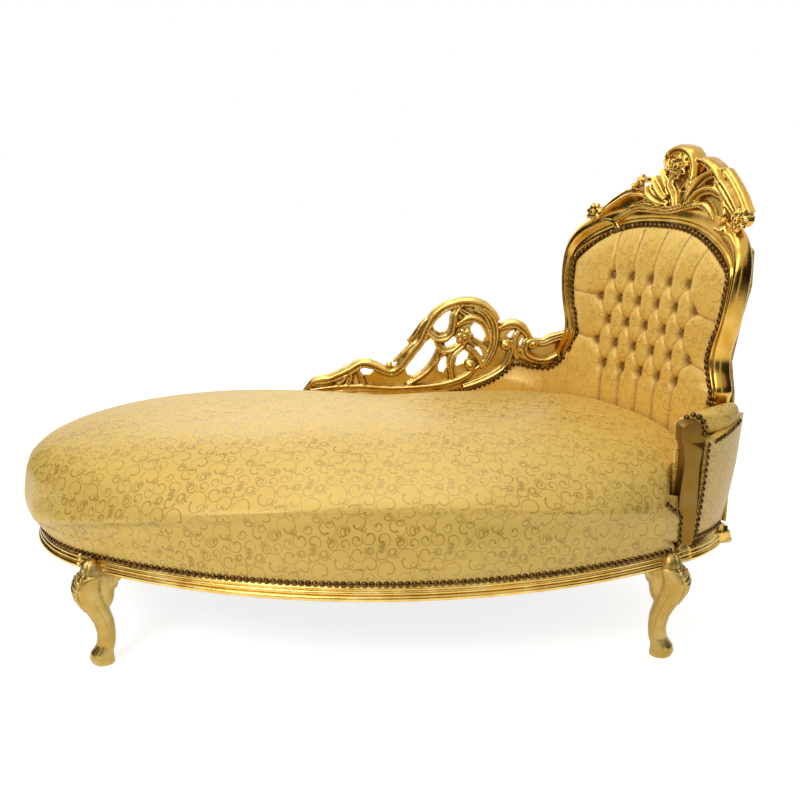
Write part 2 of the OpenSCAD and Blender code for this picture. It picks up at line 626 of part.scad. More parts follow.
module arm_outside_panel() color(cloth) at_seat() arm_sweep(arm_to + 4.5)
    polygon([[end_r - 10, rail_top + 2.4], [end_r - 2, rail_top + 0.3], [end_r + 7, 320],
        [end_r + 16, 400], [end_r + 22, 494], [end_r + 12, 494], [end_r + 4.6, 494],
        [end_r + 4.6, 400], [end_r - 1, 320]]);

// gilt side board that carries the pierced carving along the rear, and the cloth below its nails
// clear of the back's post up to step_z, and up to the back's frame above it
step_z = pad_bottom + back_mid_z + 6;
board_end = 519;
board_edge = [[-232, 350], [-226, 440], [-190, 452], [-100, 456], [0, 458], [110, 456], [228, 459],
    [267, 472], [310, 492], [342, 514], [369, 538], [392, 536], [417, 529], [460, 522], [490, 532],
    [board_end, 544]];
nail_line = [[-218, 390], [100, 396], [165, 425], [192, 449], [228, 455], [267, 467], [310, 485],
    [342, 507], [369, 532], [392, 532], [417, 525], [460, 518], [488, 527], [board_end - 3, 538]];
module clear_of_frame() difference() {
    children();
    at_back() frame_solid();
}
module board_solid() translate([0, side_face + 16, 0]) rotate([90, 0, 0]) linear_extrude(height = 16)
    polygon(concat([[board_end, step_z], [490, step_z], [490, rail_top + 0.1],
        [-250, rail_top + 0.1]], board_edge));
module side_board() color(gold) at_seat() clear_of_frame() board_solid();

module side_inner_panel() color(cloth) at_seat() clear_of_frame()
    translate([0, side_face - 0.3, 0]) rotate([90, 0, 0]) linear_extrude(height = 9)
        polygon(concat([[board_end - 3, step_z], [488, step_z], [488, rail_top + 3],
            [-234, rail_top + 3], [-224, 345]], nail_line));

module side_outside_panel() color(cloth) at_seat() clear_of_frame()
    translate([0, side_face + 21.3, 0]) rotate([90, 0, 0]) linear_extrude(height = 5)
        polygon(concat([[board_end, rail_top + 0.1], [-246, rail_top + 0.1]],
            [for (p = board_edge) [clamp(p[0], -228, board_end), p[1] - 3]]));

// pierced carving of the rear side: bands [across, up, half width, height] on the flat side
fret_bands = [
    // arched spine from the tip to the first volute
    [leaf_form, [[-227, 455, 3, 4], [-191, 485, 11, 9], [-150, 492, 13, 11], [-99, 513, 15, 12],
        [-60, 534, 14, 12], [-22, 528, 13, 11], [8, 513, 12, 10], [32, 512, 13, 11], [52, 528, 14, 12],
        [78, 562, 15, 12], [106, 597, 14, 12], [122, 633, 14, 12], [140, 664, 15, 13],
        [168, 690, 15, 13], [204, 704, 14, 13], [240, 708, 14, 13], [272, 702, 14, 12],
        [300, 684, 13, 12], [322, 655, 12, 11]]],
    // fluted band inside the arch, down to the flower's stems
    [reed_form, [[258, 692, 9, 8], [288, 677, 13, 10], [308, 648, 15, 11], [314, 613, 14, 11],
        [310, 582, 13, 10], [299, 552, 12, 10], [283, 526, 10, 8]]],
    // second hump
    [leaf_form, [[326, 632, 6, 6], [346, 643, 12, 10], [370, 646, 13, 11], [390, 638, 13, 11],
        [405, 622, 11, 10], [416, 606, 7, 7]]],
    // scroll that meets the back
    [leaf_form, [[424, 604, 7, 8], [407, 597, 10, 10], [401, 575, 11, 11], [409, 556, 12, 11],
        [432, 544, 12, 11], [460, 541, 11, 10], [484, 548, 11, 9], [504, 562, 10, 9],
        [517, 573, 9, 8]]],
    [reed_form, [[430, 598, 8, 8], [452, 594, 11, 9], [474, 603, 13, 9], [506, 612, 12, 8],
        [517, 615, 12, 8]]],
    // upright stalks between the humps
    [stem_form, [[386, 628, 6, 6], [373, 612, 8, 8], [370, 590, 8, 9], [374, 566, 8, 8],
        [382, 545, 6, 6]]],
    [stem_form, [[380, 576, 5, 5], [393, 557, 8, 8], [412, 546, 7, 7]]],
    [leaf_form, [[364, 600, 6, 6], [362, 566, 9, 9], [345, 527, 10, 9], [312, 501, 10, 9],
        [270, 481, 10, 8], [228, 467, 8, 8]]],
    // ridge along the foot of the carving
    [leaf_form, [[-206, 459, 4, 5], [-140, 466, 8, 7], [-70, 468, 9, 7], [0, 463, 9, 7],
        [60, 463, 9, 8],
        [114, 466, 10, 9], [158, 471, 10, 9], [201, 481, 10, 9], [236, 497, 9, 8], [257, 516, 6, 6]]],
    // leaf scroll under the arch
    [leaf_form, [[215, 694, 7, 7], [200, 670, 11, 10], [197, 642, 12, 11], [190, 619, 12, 11],
        [174, 605, 12, 10], [154, 604, 11, 10], [137, 616, 10, 9], [125, 634, 6, 7]]],
    [leaf_form, [[206, 640, 6, 6], [236, 660, 12, 10], [263, 661, 13, 11], [284, 647, 12, 10],
        [296, 622, 10, 9], [300, 597, 7, 7]]],
    [stem_form, [[214, 690, 6, 6], [237, 673, 8, 8], [266, 666, 7, 7]]],
    // stems that carry the flower
    [stem_form, [[252, 606, 6, 7], [277, 588, 8, 9], [291, 563, 9, 9], [291, 540, 8, 8],
        [280, 522, 7, 7]]],
    [stem_form, [[238, 586, 6, 7], [261, 565, 8, 8], [276, 543, 8, 8], [283, 522, 7, 7]]],
    [leaf_form, [[228, 586, 6, 7], [201, 564, 10, 9], [189, 543, 10, 9], [192, 518, 8, 8],
        [196, 486, 7, 7]]],
    [leaf_form, [[222, 594, 6, 6], [196, 574, 10, 9], [172, 571, 11, 9], [158, 583, 10, 9],
        [148, 600, 6, 6]]],
    // long leaves between the big opening and the spine
    [leaf_form, [[158, 578, 7, 7], [147, 546, 10, 9], [133, 524, 10, 9], [113, 504, 10, 9],
        [92, 490, 9, 8], [68, 474, 7, 7]]],
    [leaf_form, [[71, 596, 5, 5], [92, 616, 9, 8], [108, 640, 9, 9], [124, 662, 6, 7]]],
    [leaf_form, [[30, 540, 4, 5], [56, 560, 8, 8], [80, 584, 8, 8], [100, 604, 6, 7]]],
    // fan of leaves near the tip
    [leaf_form, [[-96, 512, 5, 6], [-112, 490, 8, 8], [-132, 474, 6, 6]]],
    [leaf_form, [[-88, 512, 5, 6], [-94, 486, 8, 8], [-106, 468, 6, 6]]],
    [leaf_form, [[-74, 518, 5, 6], [-60, 494, 8, 8], [-52, 466, 6, 6]]]];
fret_flowers = [[[231, 611], 25, 7], [[349, 587], 17, 0], [[424, 590], 17, 0], [[248, 529], 16, 0],
    [[18, 531], 10, 0]];
// plain ground behind the scrolls, and the openings sawn through it
fret_ground = [[-218, 458], [-191, 480], [-150, 488], [-99, 508], [-60, 529], [-22, 524], [8, 508],
    [32, 508], [52, 526], [78, 560], [106, 595], [122, 631], [140, 660], [168, 685], [204, 699],
    [240, 703], [272, 697], [300, 680], [322, 652], [346, 643], [370, 644], [390, 637], [405, 622],
    [424, 603], [452, 595], [474, 603], [506, 612], [512, 614],
    [512, 556]];
fret_holes = [[[-72, 513], [-55, 524], [-37, 525], [-19, 518], [-37, 505], [-56, 501], [-71, 504]],
    [[65, 518], [89, 548], [113, 583], [131, 602], [144, 605], [153, 592], [148, 570], [133, 541],
        [108, 512], [86, 498], [70, 502]],
    [[142, 646], [151, 666], [172, 682], [195, 682], [191, 661], [189, 642], [179, 628], [160, 623],
        [145, 632]],
    [[212, 659], [226, 670], [237, 660], [235, 648], [217, 642]],
    [[258, 650], [278, 648], [290, 634], [291, 614], [283, 597], [267, 597], [253, 614], [247, 633]],
    [[175, 593], [189, 607], [205, 610], [208, 593], [196, 579], [178, 580]],
    [[157, 527], [166, 547], [179, 555], [180, 521], [171, 508], [158, 512]],
    [[206, 526], [211, 554], [230, 572], [243, 561], [239, 547], [224, 533]],
    [[258, 582], [270, 580], [284, 563], [284, 548], [272, 555]],
    [[351, 613], [362, 625], [378, 628], [369, 608], [355, 606]],
    [[386, 592], [392, 604], [399, 606], [396, 581], [389, 575]]];
module fretwork_carving() color(gold) at_seat() difference() {
    union() {
        for (b = fret_bands) band(false, b[1], b[0]);
        for (f = fret_flowers) flower(false, f[0], f[1], f[2], relief, carving_depth - 1);
        translate([0, side_face + carving_depth - 0.6, 0]) rotate([90, 0, 0])
            linear_extrude(height = carving_depth - 4.2) difference() {
                polygon(concat(fret_ground, [for (k = [len(board_edge) - 1:-1:1]) board_edge[k]]));
                for (h = fret_holes) polygon(h);
            }
    }
    board_solid();
    at_back() frame_solid();
}

// crest of the back: bands [u, v, half width, height] on the barrel
crest_bands = [
    // curl at the top
    [leaf_form, [[-12, 378, 6, 8], [-22, 398, 9, 12], [-20, 420, 10, 14], [-2, 430, 11, 15],
        [24, 428, 12, 15],
        [52, 412, 13, 15], [68, 385, 13, 14], [72, 352, 12, 13], [68, 320, 10, 11], [60, 296, 7, 9]]],
    // shell of lobes left of the flower
    [leaf_form, [[10, 300, 8, 9], [-28, 308, 12, 12], [-56, 324, 13, 12], [-66, 344, 10, 10]]],
    [leaf_form, [[-2, 312, 7, 9], [-24, 330, 11, 12], [-44, 350, 10, 11], [-56, 366, 6, 8]]],
    [leaf_form, [[8, 322, 7, 9], [-6, 348, 10, 12], [-22, 366, 8, 10], [-36, 382, 5, 7]]],
    [leaf_form, [[34, 296, 8, 9], [26, 322, 10, 12], [6, 348, 10, 13], [12, 370, 7, 10]]],
    // long leaf running left to the rosette
    [leaf_form, [[-30, 305, 7, 8], [-74, 324, 12, 12], [-118, 324, 14, 13], [-156, 305, 14, 12],
        [-188, 282, 11, 11], [-208, 262, 7, 9]]],
    [reed_form, [[-112, 268, 7, 8], [-96, 290, 11, 10], [-62, 300, 12, 10], [-28, 294, 9, 9]]],
    // band along the foot of the crest
    [reed_form, [[-160, 252, 7, 8], [-138, 262, 11, 11], [-108, 279, 12, 11], [-76, 289, 12, 11],
        [-26, 288, 12, 11], [22, 286, 12, 11], [70, 296, 12, 11], [112, 303, 10, 9]]],
    // scroll above the left shoulder
    [leaf_form, [[-136, 228, 7, 8], [-150, 246, 10, 11], [-176, 254, 12, 12], [-206, 244, 12, 12],
        [-234, 222, 11, 11], [-250, 198, 7, 8]]],
    [leaf_form, [[-268, 214, 6, 8], [-258, 240, 11, 11], [-236, 262, 12, 12], [-210, 272, 9, 10]]],
    // leaves right of the flower
    [leaf_form, [[58, 300, 8, 10], [82, 336, 13, 14], [108, 362, 14, 15], [136, 374, 12, 12],
        [158, 378, 6, 8]]],
    [leaf_form, [[70, 296, 8, 10], [102, 326, 12, 13], [140, 336, 13, 14], [174, 326, 11, 12],
        [196, 308, 7, 8]]],
    [leaf_form, [[100, 300, 7, 9], [130, 300, 11, 12], [156, 286, 10, 11], [174, 266, 7, 8]]],
    [leaf_form, [[66, 402, 7, 8], [92, 400, 11, 12], [124, 386, 12, 13], [150, 366, 12, 12],
        [170, 344, 8, 9]]],
    // reeded band down to the right shoulder
    [reed_form, [[148, 358, 8, 9], [172, 341, 14, 13], [204, 317, 15, 14], [232, 294, 13, 12],
        [250, 278, 9, 9]]],
    [leaf_form, [[176, 332, 7, 8], [198, 306, 11, 12], [208, 280, 11, 12], [198, 258, 8, 9]]],
    [leaf_form, [[180, 250, 6, 7], [216, 242, 9, 10], [248, 234, 9, 10], [272, 212, 7, 8]]],
    // ground behind the leaves
    [ground_form, [[-232, 248, 16, 4], [-160, 276, 26, 4], [-70, 300, 26, 4], [20, 300, 22, 4]]],
    [ground_form, [[20, 306, 24, 4], [100, 312, 26, 4], [180, 290, 44, 4], [250, 258, 36, 4]]],
    [ground_form, [[8, 318, 12, 4], [28, 372, 26, 4], [28, 400, 20, 4]]],
    [ground_form, [[96, 330, 18, 4], [134, 348, 28, 4], [178, 326, 22, 4]]]];
crest_flowers = [[[19, 390], 32, 8], [[-220, 276], 25, 7], [[262, 271], 28, 7], [[-149, 247], 17, 0],
    [[217, 248], 12, 0],
    [[-88, 358], 15, 5], [[-104, 344], 12, 5]];
module crest_carving() color(gold) at_seat() at_back() difference() {
    union() {
        for (b = crest_bands) band(true, b[1], b[0], back = carving_depth + crest_face);
        for (f = crest_flowers) flower(true, f[0], f[1], f[2], relief + 3, carving_depth + crest_face - 1);
    }
    frame_solid();
}

front_seat_rail();
foot_end_rail();
back_seat_rail();
arm_side_rail();
back_end_rail();
leg_front_foot();
leg_front_head();
leg_rear_foot();
leg_rear_head();
corner_blocks();
seat_cross_rails();
seat_webbing();
dust_cover();
seat_cushion();
back_frame();
back_posts();
back_cross_rails();
back_inner_panel();
tufted_back();
tuft_buttons();
outside_back_panel();
crest_carving();
arm_post();
arm_rail();
arm_pad();
arm_inside_panel();
arm_outside_panel();
side_board();
side_inner_panel();
side_outside_panel();
fretwork_carving();
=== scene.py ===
"""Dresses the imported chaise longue: gilt carving, damask upholstery, tufting and nails."""
import math

import bpy
import numpy as np
from mathutils import Matrix, Vector


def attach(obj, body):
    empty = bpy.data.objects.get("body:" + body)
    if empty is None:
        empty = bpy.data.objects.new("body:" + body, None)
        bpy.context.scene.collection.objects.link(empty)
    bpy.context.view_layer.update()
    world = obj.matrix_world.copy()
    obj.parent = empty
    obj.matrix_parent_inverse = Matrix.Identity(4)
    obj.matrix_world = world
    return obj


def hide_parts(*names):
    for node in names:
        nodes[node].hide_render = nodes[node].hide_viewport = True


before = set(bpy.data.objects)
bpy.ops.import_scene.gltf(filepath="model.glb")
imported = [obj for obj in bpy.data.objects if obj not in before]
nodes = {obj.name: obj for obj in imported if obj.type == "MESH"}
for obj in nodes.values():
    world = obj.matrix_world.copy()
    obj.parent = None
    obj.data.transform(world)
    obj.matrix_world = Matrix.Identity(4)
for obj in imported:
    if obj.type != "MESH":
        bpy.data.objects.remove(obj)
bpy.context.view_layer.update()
scene = bpy.context.scene
scene.view_settings.view_transform = "Standard"
MM = 0.001

# the camera stands where the photograph was taken from
CAMERA_AT = (0.0125, -1.976, 1.026)
CAMERA_YAW = 1.5
CAMERA_TILT = 14.26
CAMERA_LENS = 38.25
SKY_LIGHT = 0.32
FLOOR_GLOW = 0.79

# plan of the seat, in metres from the seat's centre
SEAT_CENTRE = np.array([0.025, 0.051])
END_R = 0.340
FRONT_REACH = 0.469
MID_X = 0.006
HALF = 0.499
HEAD = np.array([MID_X + HALF, 0.0])
FOOT = np.array([MID_X - HALF, 0.0])
BOW_R = (HALF ** 2 + FRONT_REACH ** 2 - END_R ** 2) / (2 * (FRONT_REACH - END_R))
BOW_Y = BOW_R - FRONT_REACH
BOW_TURN = math.atan2(HALF, BOW_Y)
TOUCH_X = HALF + END_R * math.sin(BOW_TURN)
TOUCH_Y = -END_R * math.cos(BOW_TURN)
CROWN_Z, BELLY_Z = 0.504, 0.328
# how far the cushion stands out past the outline, and how much more at the foot end
OVERHANG, FOOT_OVERHANG = 0.012, 0.025

# the back's barrel: its radius, its lean and the bend backward of its upper part
BARREL_R = 1.1
BACK_LEAN = math.tan(math.radians(3))
BEND_FROM, BEND = 0.06, 0.325
BACK_TURN = math.radians(-63)
BACK_AT = (0.677 + SEAT_CENTRE[0], 0.090 + SEAT_CENTRE[1])
BACK_MID_Z = 0.678
STUFFING = 0.038
# the buttons: their pitch across and up, the middle of their grid, their size and their depth in the stuffing
PITCH, ROW = 0.066, 0.058
BUTTON_MID = np.array([0.014, 0.004])
BUTTON_R, BUTTON_DEPTH = 0.0078, 0.0215
# the inner face of the pierced side, and the face of the arm post, from the seat's centre
SIDE_FACE = 0.326
POST_FACE = -0.3125


# ---------------------------------------------------------------- modelling helpers
def drop_selection():
    """Nothing stays selected, so that an operator acts on its own piece only."""
    for o in list(bpy.context.selected_objects):
        o.select_set(False)


def hold(piece):
    """The piece alone is selected and active."""
    drop_selection()
    piece.hide_set(False)
    piece.select_set(True)
    bpy.context.view_layer.objects.active = piece
    return piece


def finish_with(piece, kind, **settings):
    """Adds a modifier to the piece and applies it."""
    hold(piece)
    m = piece.modifiers.new(kind.title(), kind)
    for key, value in settings.items():
        setattr(m, key, value)
    bpy.ops.object.modifier_apply(modifier=m.name)
    return piece


def from_mesh(name, verts, faces):
    mesh = bpy.data.meshes.new(name)
    mesh.from_pydata([tuple(v) for v in verts], [], [tuple(int(i) for i in f) for f in faces])
    mesh.update()
    piece = bpy.data.objects.new(name, mesh)
    scene.collection.objects.link(piece)
    return piece


def edited(piece, *steps):
    """Runs operators on the whole mesh in edit mode; each step is an operator and its settings."""
    hold(piece)
    bpy.ops.object.mode_set(mode="EDIT")
    for operator, settings in steps:
        bpy.ops.mesh.select_all(action="SELECT")
        operator(**settings)
    bpy.ops.object.mode_set(mode="OBJECT")
    return piece


def merged_copy(node, name):
    """A copy of a CAD node's mesh with its loose triangles merged."""
    piece = bpy.data.objects.new(name, nodes[node].data.copy())
    piece.data.materials.clear()
    scene.collection.objects.link(piece)
    return edited(piece, (bpy.ops.mesh.remove_doubles, {"threshold": 0.00002}))


def joined(name, pieces):
    """Several pieces made one."""
    drop_selection()
    for p in pieces:
        p.select_set(True)
    bpy.context.view_layer.objects.active = pieces[0]
    if len(pieces) > 1:
        bpy.ops.object.join()
    pieces[0].name = name
    pieces[0].data.name = name
    return pieces[0]


def co_of(piece):
    co = np.empty(len(piece.data.vertices) * 3)
    piece.data.vertices.foreach_get("co", co)
    return co.reshape(-1, 3)


def set_co(piece, co):
    piece.data.vertices.foreach_set("co", np.ascontiguousarray(co, dtype=np.float64).ravel())
    piece.data.update()


def normals_of(piece):
    n = np.empty(len(piece.data.vertices) * 3)
    piece.data.vertices.foreach_get("normal", n)
    return n.reshape(-1, 3)


def face_out(piece):
    return edited(piece, (bpy.ops.mesh.normals_make_consistent, {"inside": False}))


def closed_tube(name, rings):
    """A closed piece through rings of points, with a flat cap at both ends."""
    rings = np.asarray(rings)
    n, k = rings.shape[:2]
    faces = [(i * k + j, i * k + (j + 1) % k, (i + 1) * k + (j + 1) % k, (i + 1) * k + j)
             for i in range(n - 1) for j in range(k)]
    faces += [tuple(range(k)), tuple((n - 1) * k + j for j in range(k - 1, -1, -1))]
    return face_out(from_mesh(name, rings.reshape(-1, 3), faces))


def smooth(piece, angle=None):
    hold(piece)
    if angle is None:
        bpy.ops.object.shade_smooth()
    else:
        bpy.ops.object.shade_smooth_by_angle(angle=math.radians(angle))
    return piece


def lay_cloth(piece, place):
    """The piece's UV map, in metres along the cloth, from a function of its points."""
    uv = place(co_of(piece))
    layer = piece.data.uv_layers.get("cloth") or piece.data.uv_layers.new(name="cloth")
    loops = np.empty(len(piece.data.loops), dtype=np.int64)
    piece.data.loops.foreach_get("vertex_index", loops)
    layer.data.foreach_set("uv", np.ascontiguousarray(uv[loops], dtype=np.float64).ravel())


def set_hollow(piece, values):
    """The 'hollow' attribute that the materials read, a value a point or one for them all."""
    layer = piece.data.attributes.new("hollow", "FLOAT", "POINT")
    layer.data.foreach_set("value", np.array(np.broadcast_to(values, len(piece.data.vertices)), dtype=np.float32))


def mark_hollows(piece, reach, strength):
    """Sets 'hollow' from the shape: 1 in a groove, 0 on a ridge, 0.5 on the flat."""
    mesh = piece.data
    co, no = co_of(piece), normals_of(piece)
    edges = np.empty(len(mesh.edges) * 2, dtype=np.int64)
    mesh.edges.foreach_get("vertices", edges)
    a, b = edges.reshape(-1, 2).T
    count = np.bincount(a, minlength=len(co)) + np.bincount(b, minlength=len(co))
    bend = np.zeros(len(co))
    d = co[b] - co[a]
    np.add.at(bend, a, (d * no[a]).sum(1))
    np.add.at(bend, b, -(d * no[b]).sum(1))
    bend /= np.maximum(count, 1)
    for _ in range(reach):
        near = np.zeros(len(co))
        np.add.at(near, a, bend[b])
        np.add.at(near, b, bend[a])
        bend = 0.4 * bend + 0.6 * near / np.maximum(count, 1)
    set_hollow(piece, np.clip(0.5 + bend * strength, 0, 1))


def dress(piece, material, replaces=()):
    """Gives a finished piece its material, its body and the CAD nodes that it stands for."""
    piece.data.materials.clear()
    piece.data.materials.append(material)
    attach(piece, "root")
    if replaces:
        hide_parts(*replaces)
    return piece


def ease(t):
    """0 below 0, 1 above 1, and a soft way between."""
    t = np.clip(t, 0, 1)
    return t * t * (3 - 2 * t)


def spline(points, n):
    """A smooth curve through rows of numbers, n steps between two of them."""
    p = np.asarray(points, float)
    q = np.vstack([p[:1], p, p[-1:]])
    out = []
    t = (np.arange(n) / n)[:, None]
    for i in range(len(p) - 1):
        a, b, c, d = q[i], q[i + 1], q[i + 2], q[i + 3]
        out.append(0.5 * (2 * b + (c - a) * t + (2 * a - 5 * b + 4 * c - d) * t ** 2
                          + (3 * b - a - 3 * c + d) * t ** 3))
    return np.vstack(out + [p[-1:]])


def run_along(path):
    """How far along a path each of its points lies."""
    return np.concatenate([[0], np.cumsum(np.linalg.norm(np.diff(path, axis=0), axis=1))])


def evenly(path, pitch):
    """Points at an even pitch along a path."""
    path = np.asarray(path, float)
    run = run_along(path)
    at = np.linspace(0, run[-1], max(2, int(round(run[-1] / pitch)) + 1))
    return np.stack([np.interp(at, run, path[:, k]) for k in range(path.shape[1])], 1)


def outward(path):
    """The way out of a path in plan, away from its middle, at each of its points."""
    t = np.gradient(path, axis=0)
    n = np.column_stack([t[:, 1], -t[:, 0]])
    n /= np.linalg.norm(n, axis=1)[:, None]
    return -n if ((path - path.mean(0)) * n).sum() < 0 else n


def onto(piece, start, way):
    """Where a straight line from a point first meets the piece, and the way out there."""
    hit, at, out, _ = piece.ray_cast(Vector(start), Vector(way))
    return (np.array(at), np.array(out)) if hit else None


# ---------------------------------------------------------------- shapes of the seat and the back
def barrel(u, v, n):
    """A point of the back: u across it, v up from its middle, n out toward the sitter."""
    u, v, n = np.broadcast_arrays(np.asarray(u, float), np.asarray(v, float), np.asarray(n, float))
    lean = v * BACK_LEAN + np.where(v > BEND_FROM, BEND * (v - BEND_FROM) ** 2, 0)
    r = BARREL_R - n - 0.005 + lean
    x, y = r * np.sin(u / BARREL_R), r * np.cos(u / BARREL_R) - BARREL_R
    c, s = math.cos(BACK_TURN), math.sin(BACK_TURN)
    return np.stack([x * c - y * s + BACK_AT[0], x * s + y * c + BACK_AT[1], v + BACK_MID_Z], -1)


def barrel_uv(co):
    """Back to u and v from points near the back."""
    c, s = math.cos(BACK_TURN), math.sin(BACK_TURN)
    dx, dy = co[:, 0] - BACK_AT[0], co[:, 1] - BACK_AT[1]
    x, y = dx * c + dy * s, -dx * s + dy * c
    return np.stack([np.arctan2(x, y + BARREL_R) * BARREL_R, co[:, 2] - BACK_MID_Z], -1)


def ray_circle(c, r, a):
    b = c[0] * np.cos(a) + c[1] * np.sin(a)
    return b + np.sqrt(np.maximum(0, b * b - c[0] ** 2 - c[1] ** 2 + r * r))


def outline_at(a):
    """How far the seat's outline lies from the seat's centre in the direction a."""
    rear = END_R / np.maximum(np.sin(a), 1e-6)
    out = np.where(a < math.atan2(END_R, HEAD[0]), ray_circle(HEAD, END_R, a), rear)
    out = np.where(a < math.atan2(TOUCH_Y, MID_X + TOUCH_X), ray_circle((MID_X, BOW_Y), BOW_R, a), out)
    round_foot = (a > math.atan2(END_R, FOOT[0])) | (a < math.atan2(TOUCH_Y, MID_X - TOUCH_X))
    return np.where(round_foot, ray_circle(FOOT, END_R, a), out)


def free_r(a):
    """How far the cushion reaches in the direction a, past the outline."""
    return outline_at(a) + OVERHANG + FOOT_OVERHANG * np.maximum(0, -np.cos(a)) ** 8


def dome_power(a):
    return 2 + np.where(np.cos(a) < 0, 1.3, 0.7) * np.cos(a) ** 2


def dome_z(a, r):
    """Height of the seat's dome in the direction a, r from the centre."""
    p = dome_power(a)
    t = np.clip(r / free_r(a), 0, 1)
    return BELLY_Z + (CROWN_Z - BELLY_Z) * (1 - t ** p) ** (1 / p)


def outline_normal(a):
    step = 1e-3
    p = [outline_at(a + e)[:, None] * np.stack([np.cos(a + e), np.sin(a + e)], -1) for e in (-step, step)]
    t = p[1] - p[0]
    n = np.stack([t[:, 1], -t[:, 0]], -1)
    return n / np.linalg.norm(n, axis=1)[:, None]


def seat_cloth(co):
    """Where each point of the seat lies on the flat cloth: the plan, let out down the slopes."""
    p = co[:, :2] - SEAT_CENTRE
    a = np.arctan2(p[:, 1], p[:, 0])
    r = np.hypot(p[:, 0], p[:, 1])
    free = free_r(a)
    low = co[:, 2] < BELLY_Z
    power = dome_power(a)
    high = np.clip((co[:, 2] - BELLY_Z) / (CROWN_Z - BELLY_Z), 0, 1)
    by_height = (1 - high ** power) ** (1 / power)
    edge = ease((r / free - 0.76) / 0.14)
    t = np.where(low, 1.0, np.clip(r / free, 0, 1) * (1 - edge) + by_height * edge)
    p = p / np.maximum(r, 1e-6)[:, None] * (free * t)[:, None]
    steps = np.linspace(0, 1, 61)
    let_out = np.zeros(len(a))
    for k in range(60):
        lo, hi = np.minimum(steps[k], t), np.minimum(steps[k + 1], t)
        dr = (hi - lo) * free
        dz = dome_z(a, lo * free) - dome_z(a, hi * free)
        let_out += np.sqrt(dr ** 2 + dz ** 2) - dr
    let_out = np.where(low, let_out + (BELLY_Z - co[:, 2]) * 1.02, let_out)
    return p + outline_normal(a) * let_out[:, None]


def seat_path(offset=0.0, start=-0.225, end=None):
    """The seat's outline in plan from the rear round the foot and along the front to the arm."""
    rows = [np.array([x, END_R + offset]) for x in np.linspace(start, FOOT[0], 20)[:-1]]
    for a in np.radians(np.linspace(90, 270, 91)):
        if a <= math.radians(270) - BOW_TURN:
            rows.append(FOOT + (END_R + offset) * np.array([math.cos(a), math.sin(a)]))
    for a in np.linspace(-math.pi / 2 - BOW_TURN, -math.pi / 2 + BOW_TURN, 100):
        rows.append(np.array([MID_X + (BOW_R + offset) * math.cos(a), BOW_Y + (BOW_R + offset) * math.sin(a)]))
    rows = np.array(rows)
    if end is not None:
        rows = rows[(rows[:, 1] > 0) | (rows[:, 0] < end)]
    return rows


def place3(plan, z):
    """Plan points from the seat's centre, with their height, in the shared frame."""
    plan = np.atleast_2d(plan)
    return np.column_stack([plan + SEAT_CENTRE, np.broadcast_to(z, len(plan))])


# ---------------------------------------------------------------- materials
def new_material(name):
    """A material and its empty node tree."""
    material = bpy.data.materials.new(name)
    material.use_nodes = True
    material.node_tree.nodes.clear()
    return material, material.node_tree


def put(tree, kind, values=(), **settings):
    """A node with its settings; values are numbers or sockets, in order or by name."""
    n = tree.nodes.new("ShaderNode" + kind)
    for key, value in settings.items():
        setattr(n, key, value)
    pairs = values.items() if isinstance(values, dict) else enumerate(values)
    for key, value in pairs:
        if value is None:
            continue
        if isinstance(value, bpy.types.NodeSocket):
            tree.links.new(value, n.inputs[key])
        else:
            n.inputs[key].default_value = value
    return n


def calc(tree, op, *values, clamp=False):
    """The result of one sum on numbers and sockets."""
    return put(tree, "Math", values, operation=op, use_clamp=clamp).outputs[0]


def spread(tree, value, low, high, to_low, to_high):
    """A value's range laid over another one."""
    return put(tree, "MapRange", [value, low, high, to_low, to_high]).outputs[0]


def noise(tree, at, scale, detail, **more):
    return put(tree, "TexNoise", {"Vector": at, "Scale": scale, "Detail": detail, **more}).outputs["Fac"]


def bump(tree, strength, distance, height):
    return put(tree, "Bump", {"Strength": strength, "Distance": distance, "Height": height}).outputs[0]


def stretched(tree, at, scale):
    return put(tree, "Mapping", [at, None, None, scale]).outputs[0]


def blend_colour(tree, fac, a, b, mode="MIX"):
    n = put(tree, "Mix", data_type="RGBA", blend_type=mode)
    for socket, value in ((n.inputs[0], fac), (n.inputs[6], a), (n.inputs[7], b)):
        if isinstance(value, bpy.types.NodeSocket):
            tree.links.new(value, socket)
        else:
            socket.default_value = value
    return n.outputs[2]


def ramp(tree, fac, stops):
    n = put(tree, "ValToRGB", [fac])
    while len(n.color_ramp.elements) < len(stops):
        n.color_ramp.elements.new(0.5)
    for e, (at, colour) in zip(n.color_ramp.elements, stops):
        e.position = at
        e.color = colour
    return n.outputs[0]


def rgb(r, g, b):
    """A colour written as it shows on a screen."""
    return tuple((c / 255 / 12.92) if c <= 10 else ((c / 255 + 0.055) / 1.055) ** 2.4 for c in (r, g, b)) + (1,)


def show_as(tree, shader):
    """The shader is what the material's surface shows."""
    tree.links.new(shader.outputs[0], put(tree, "OutputMaterial").inputs[0])


def finish_material(tree, colour, rough, metal, relief, **fixed):
    shader = put(tree, "BsdfPrincipled", {"Base Color": colour, "Roughness": rough, "Metallic": metal, **fixed})
    tree.links.new(relief, shader.inputs["Normal"])
    show_as(tree, shader)


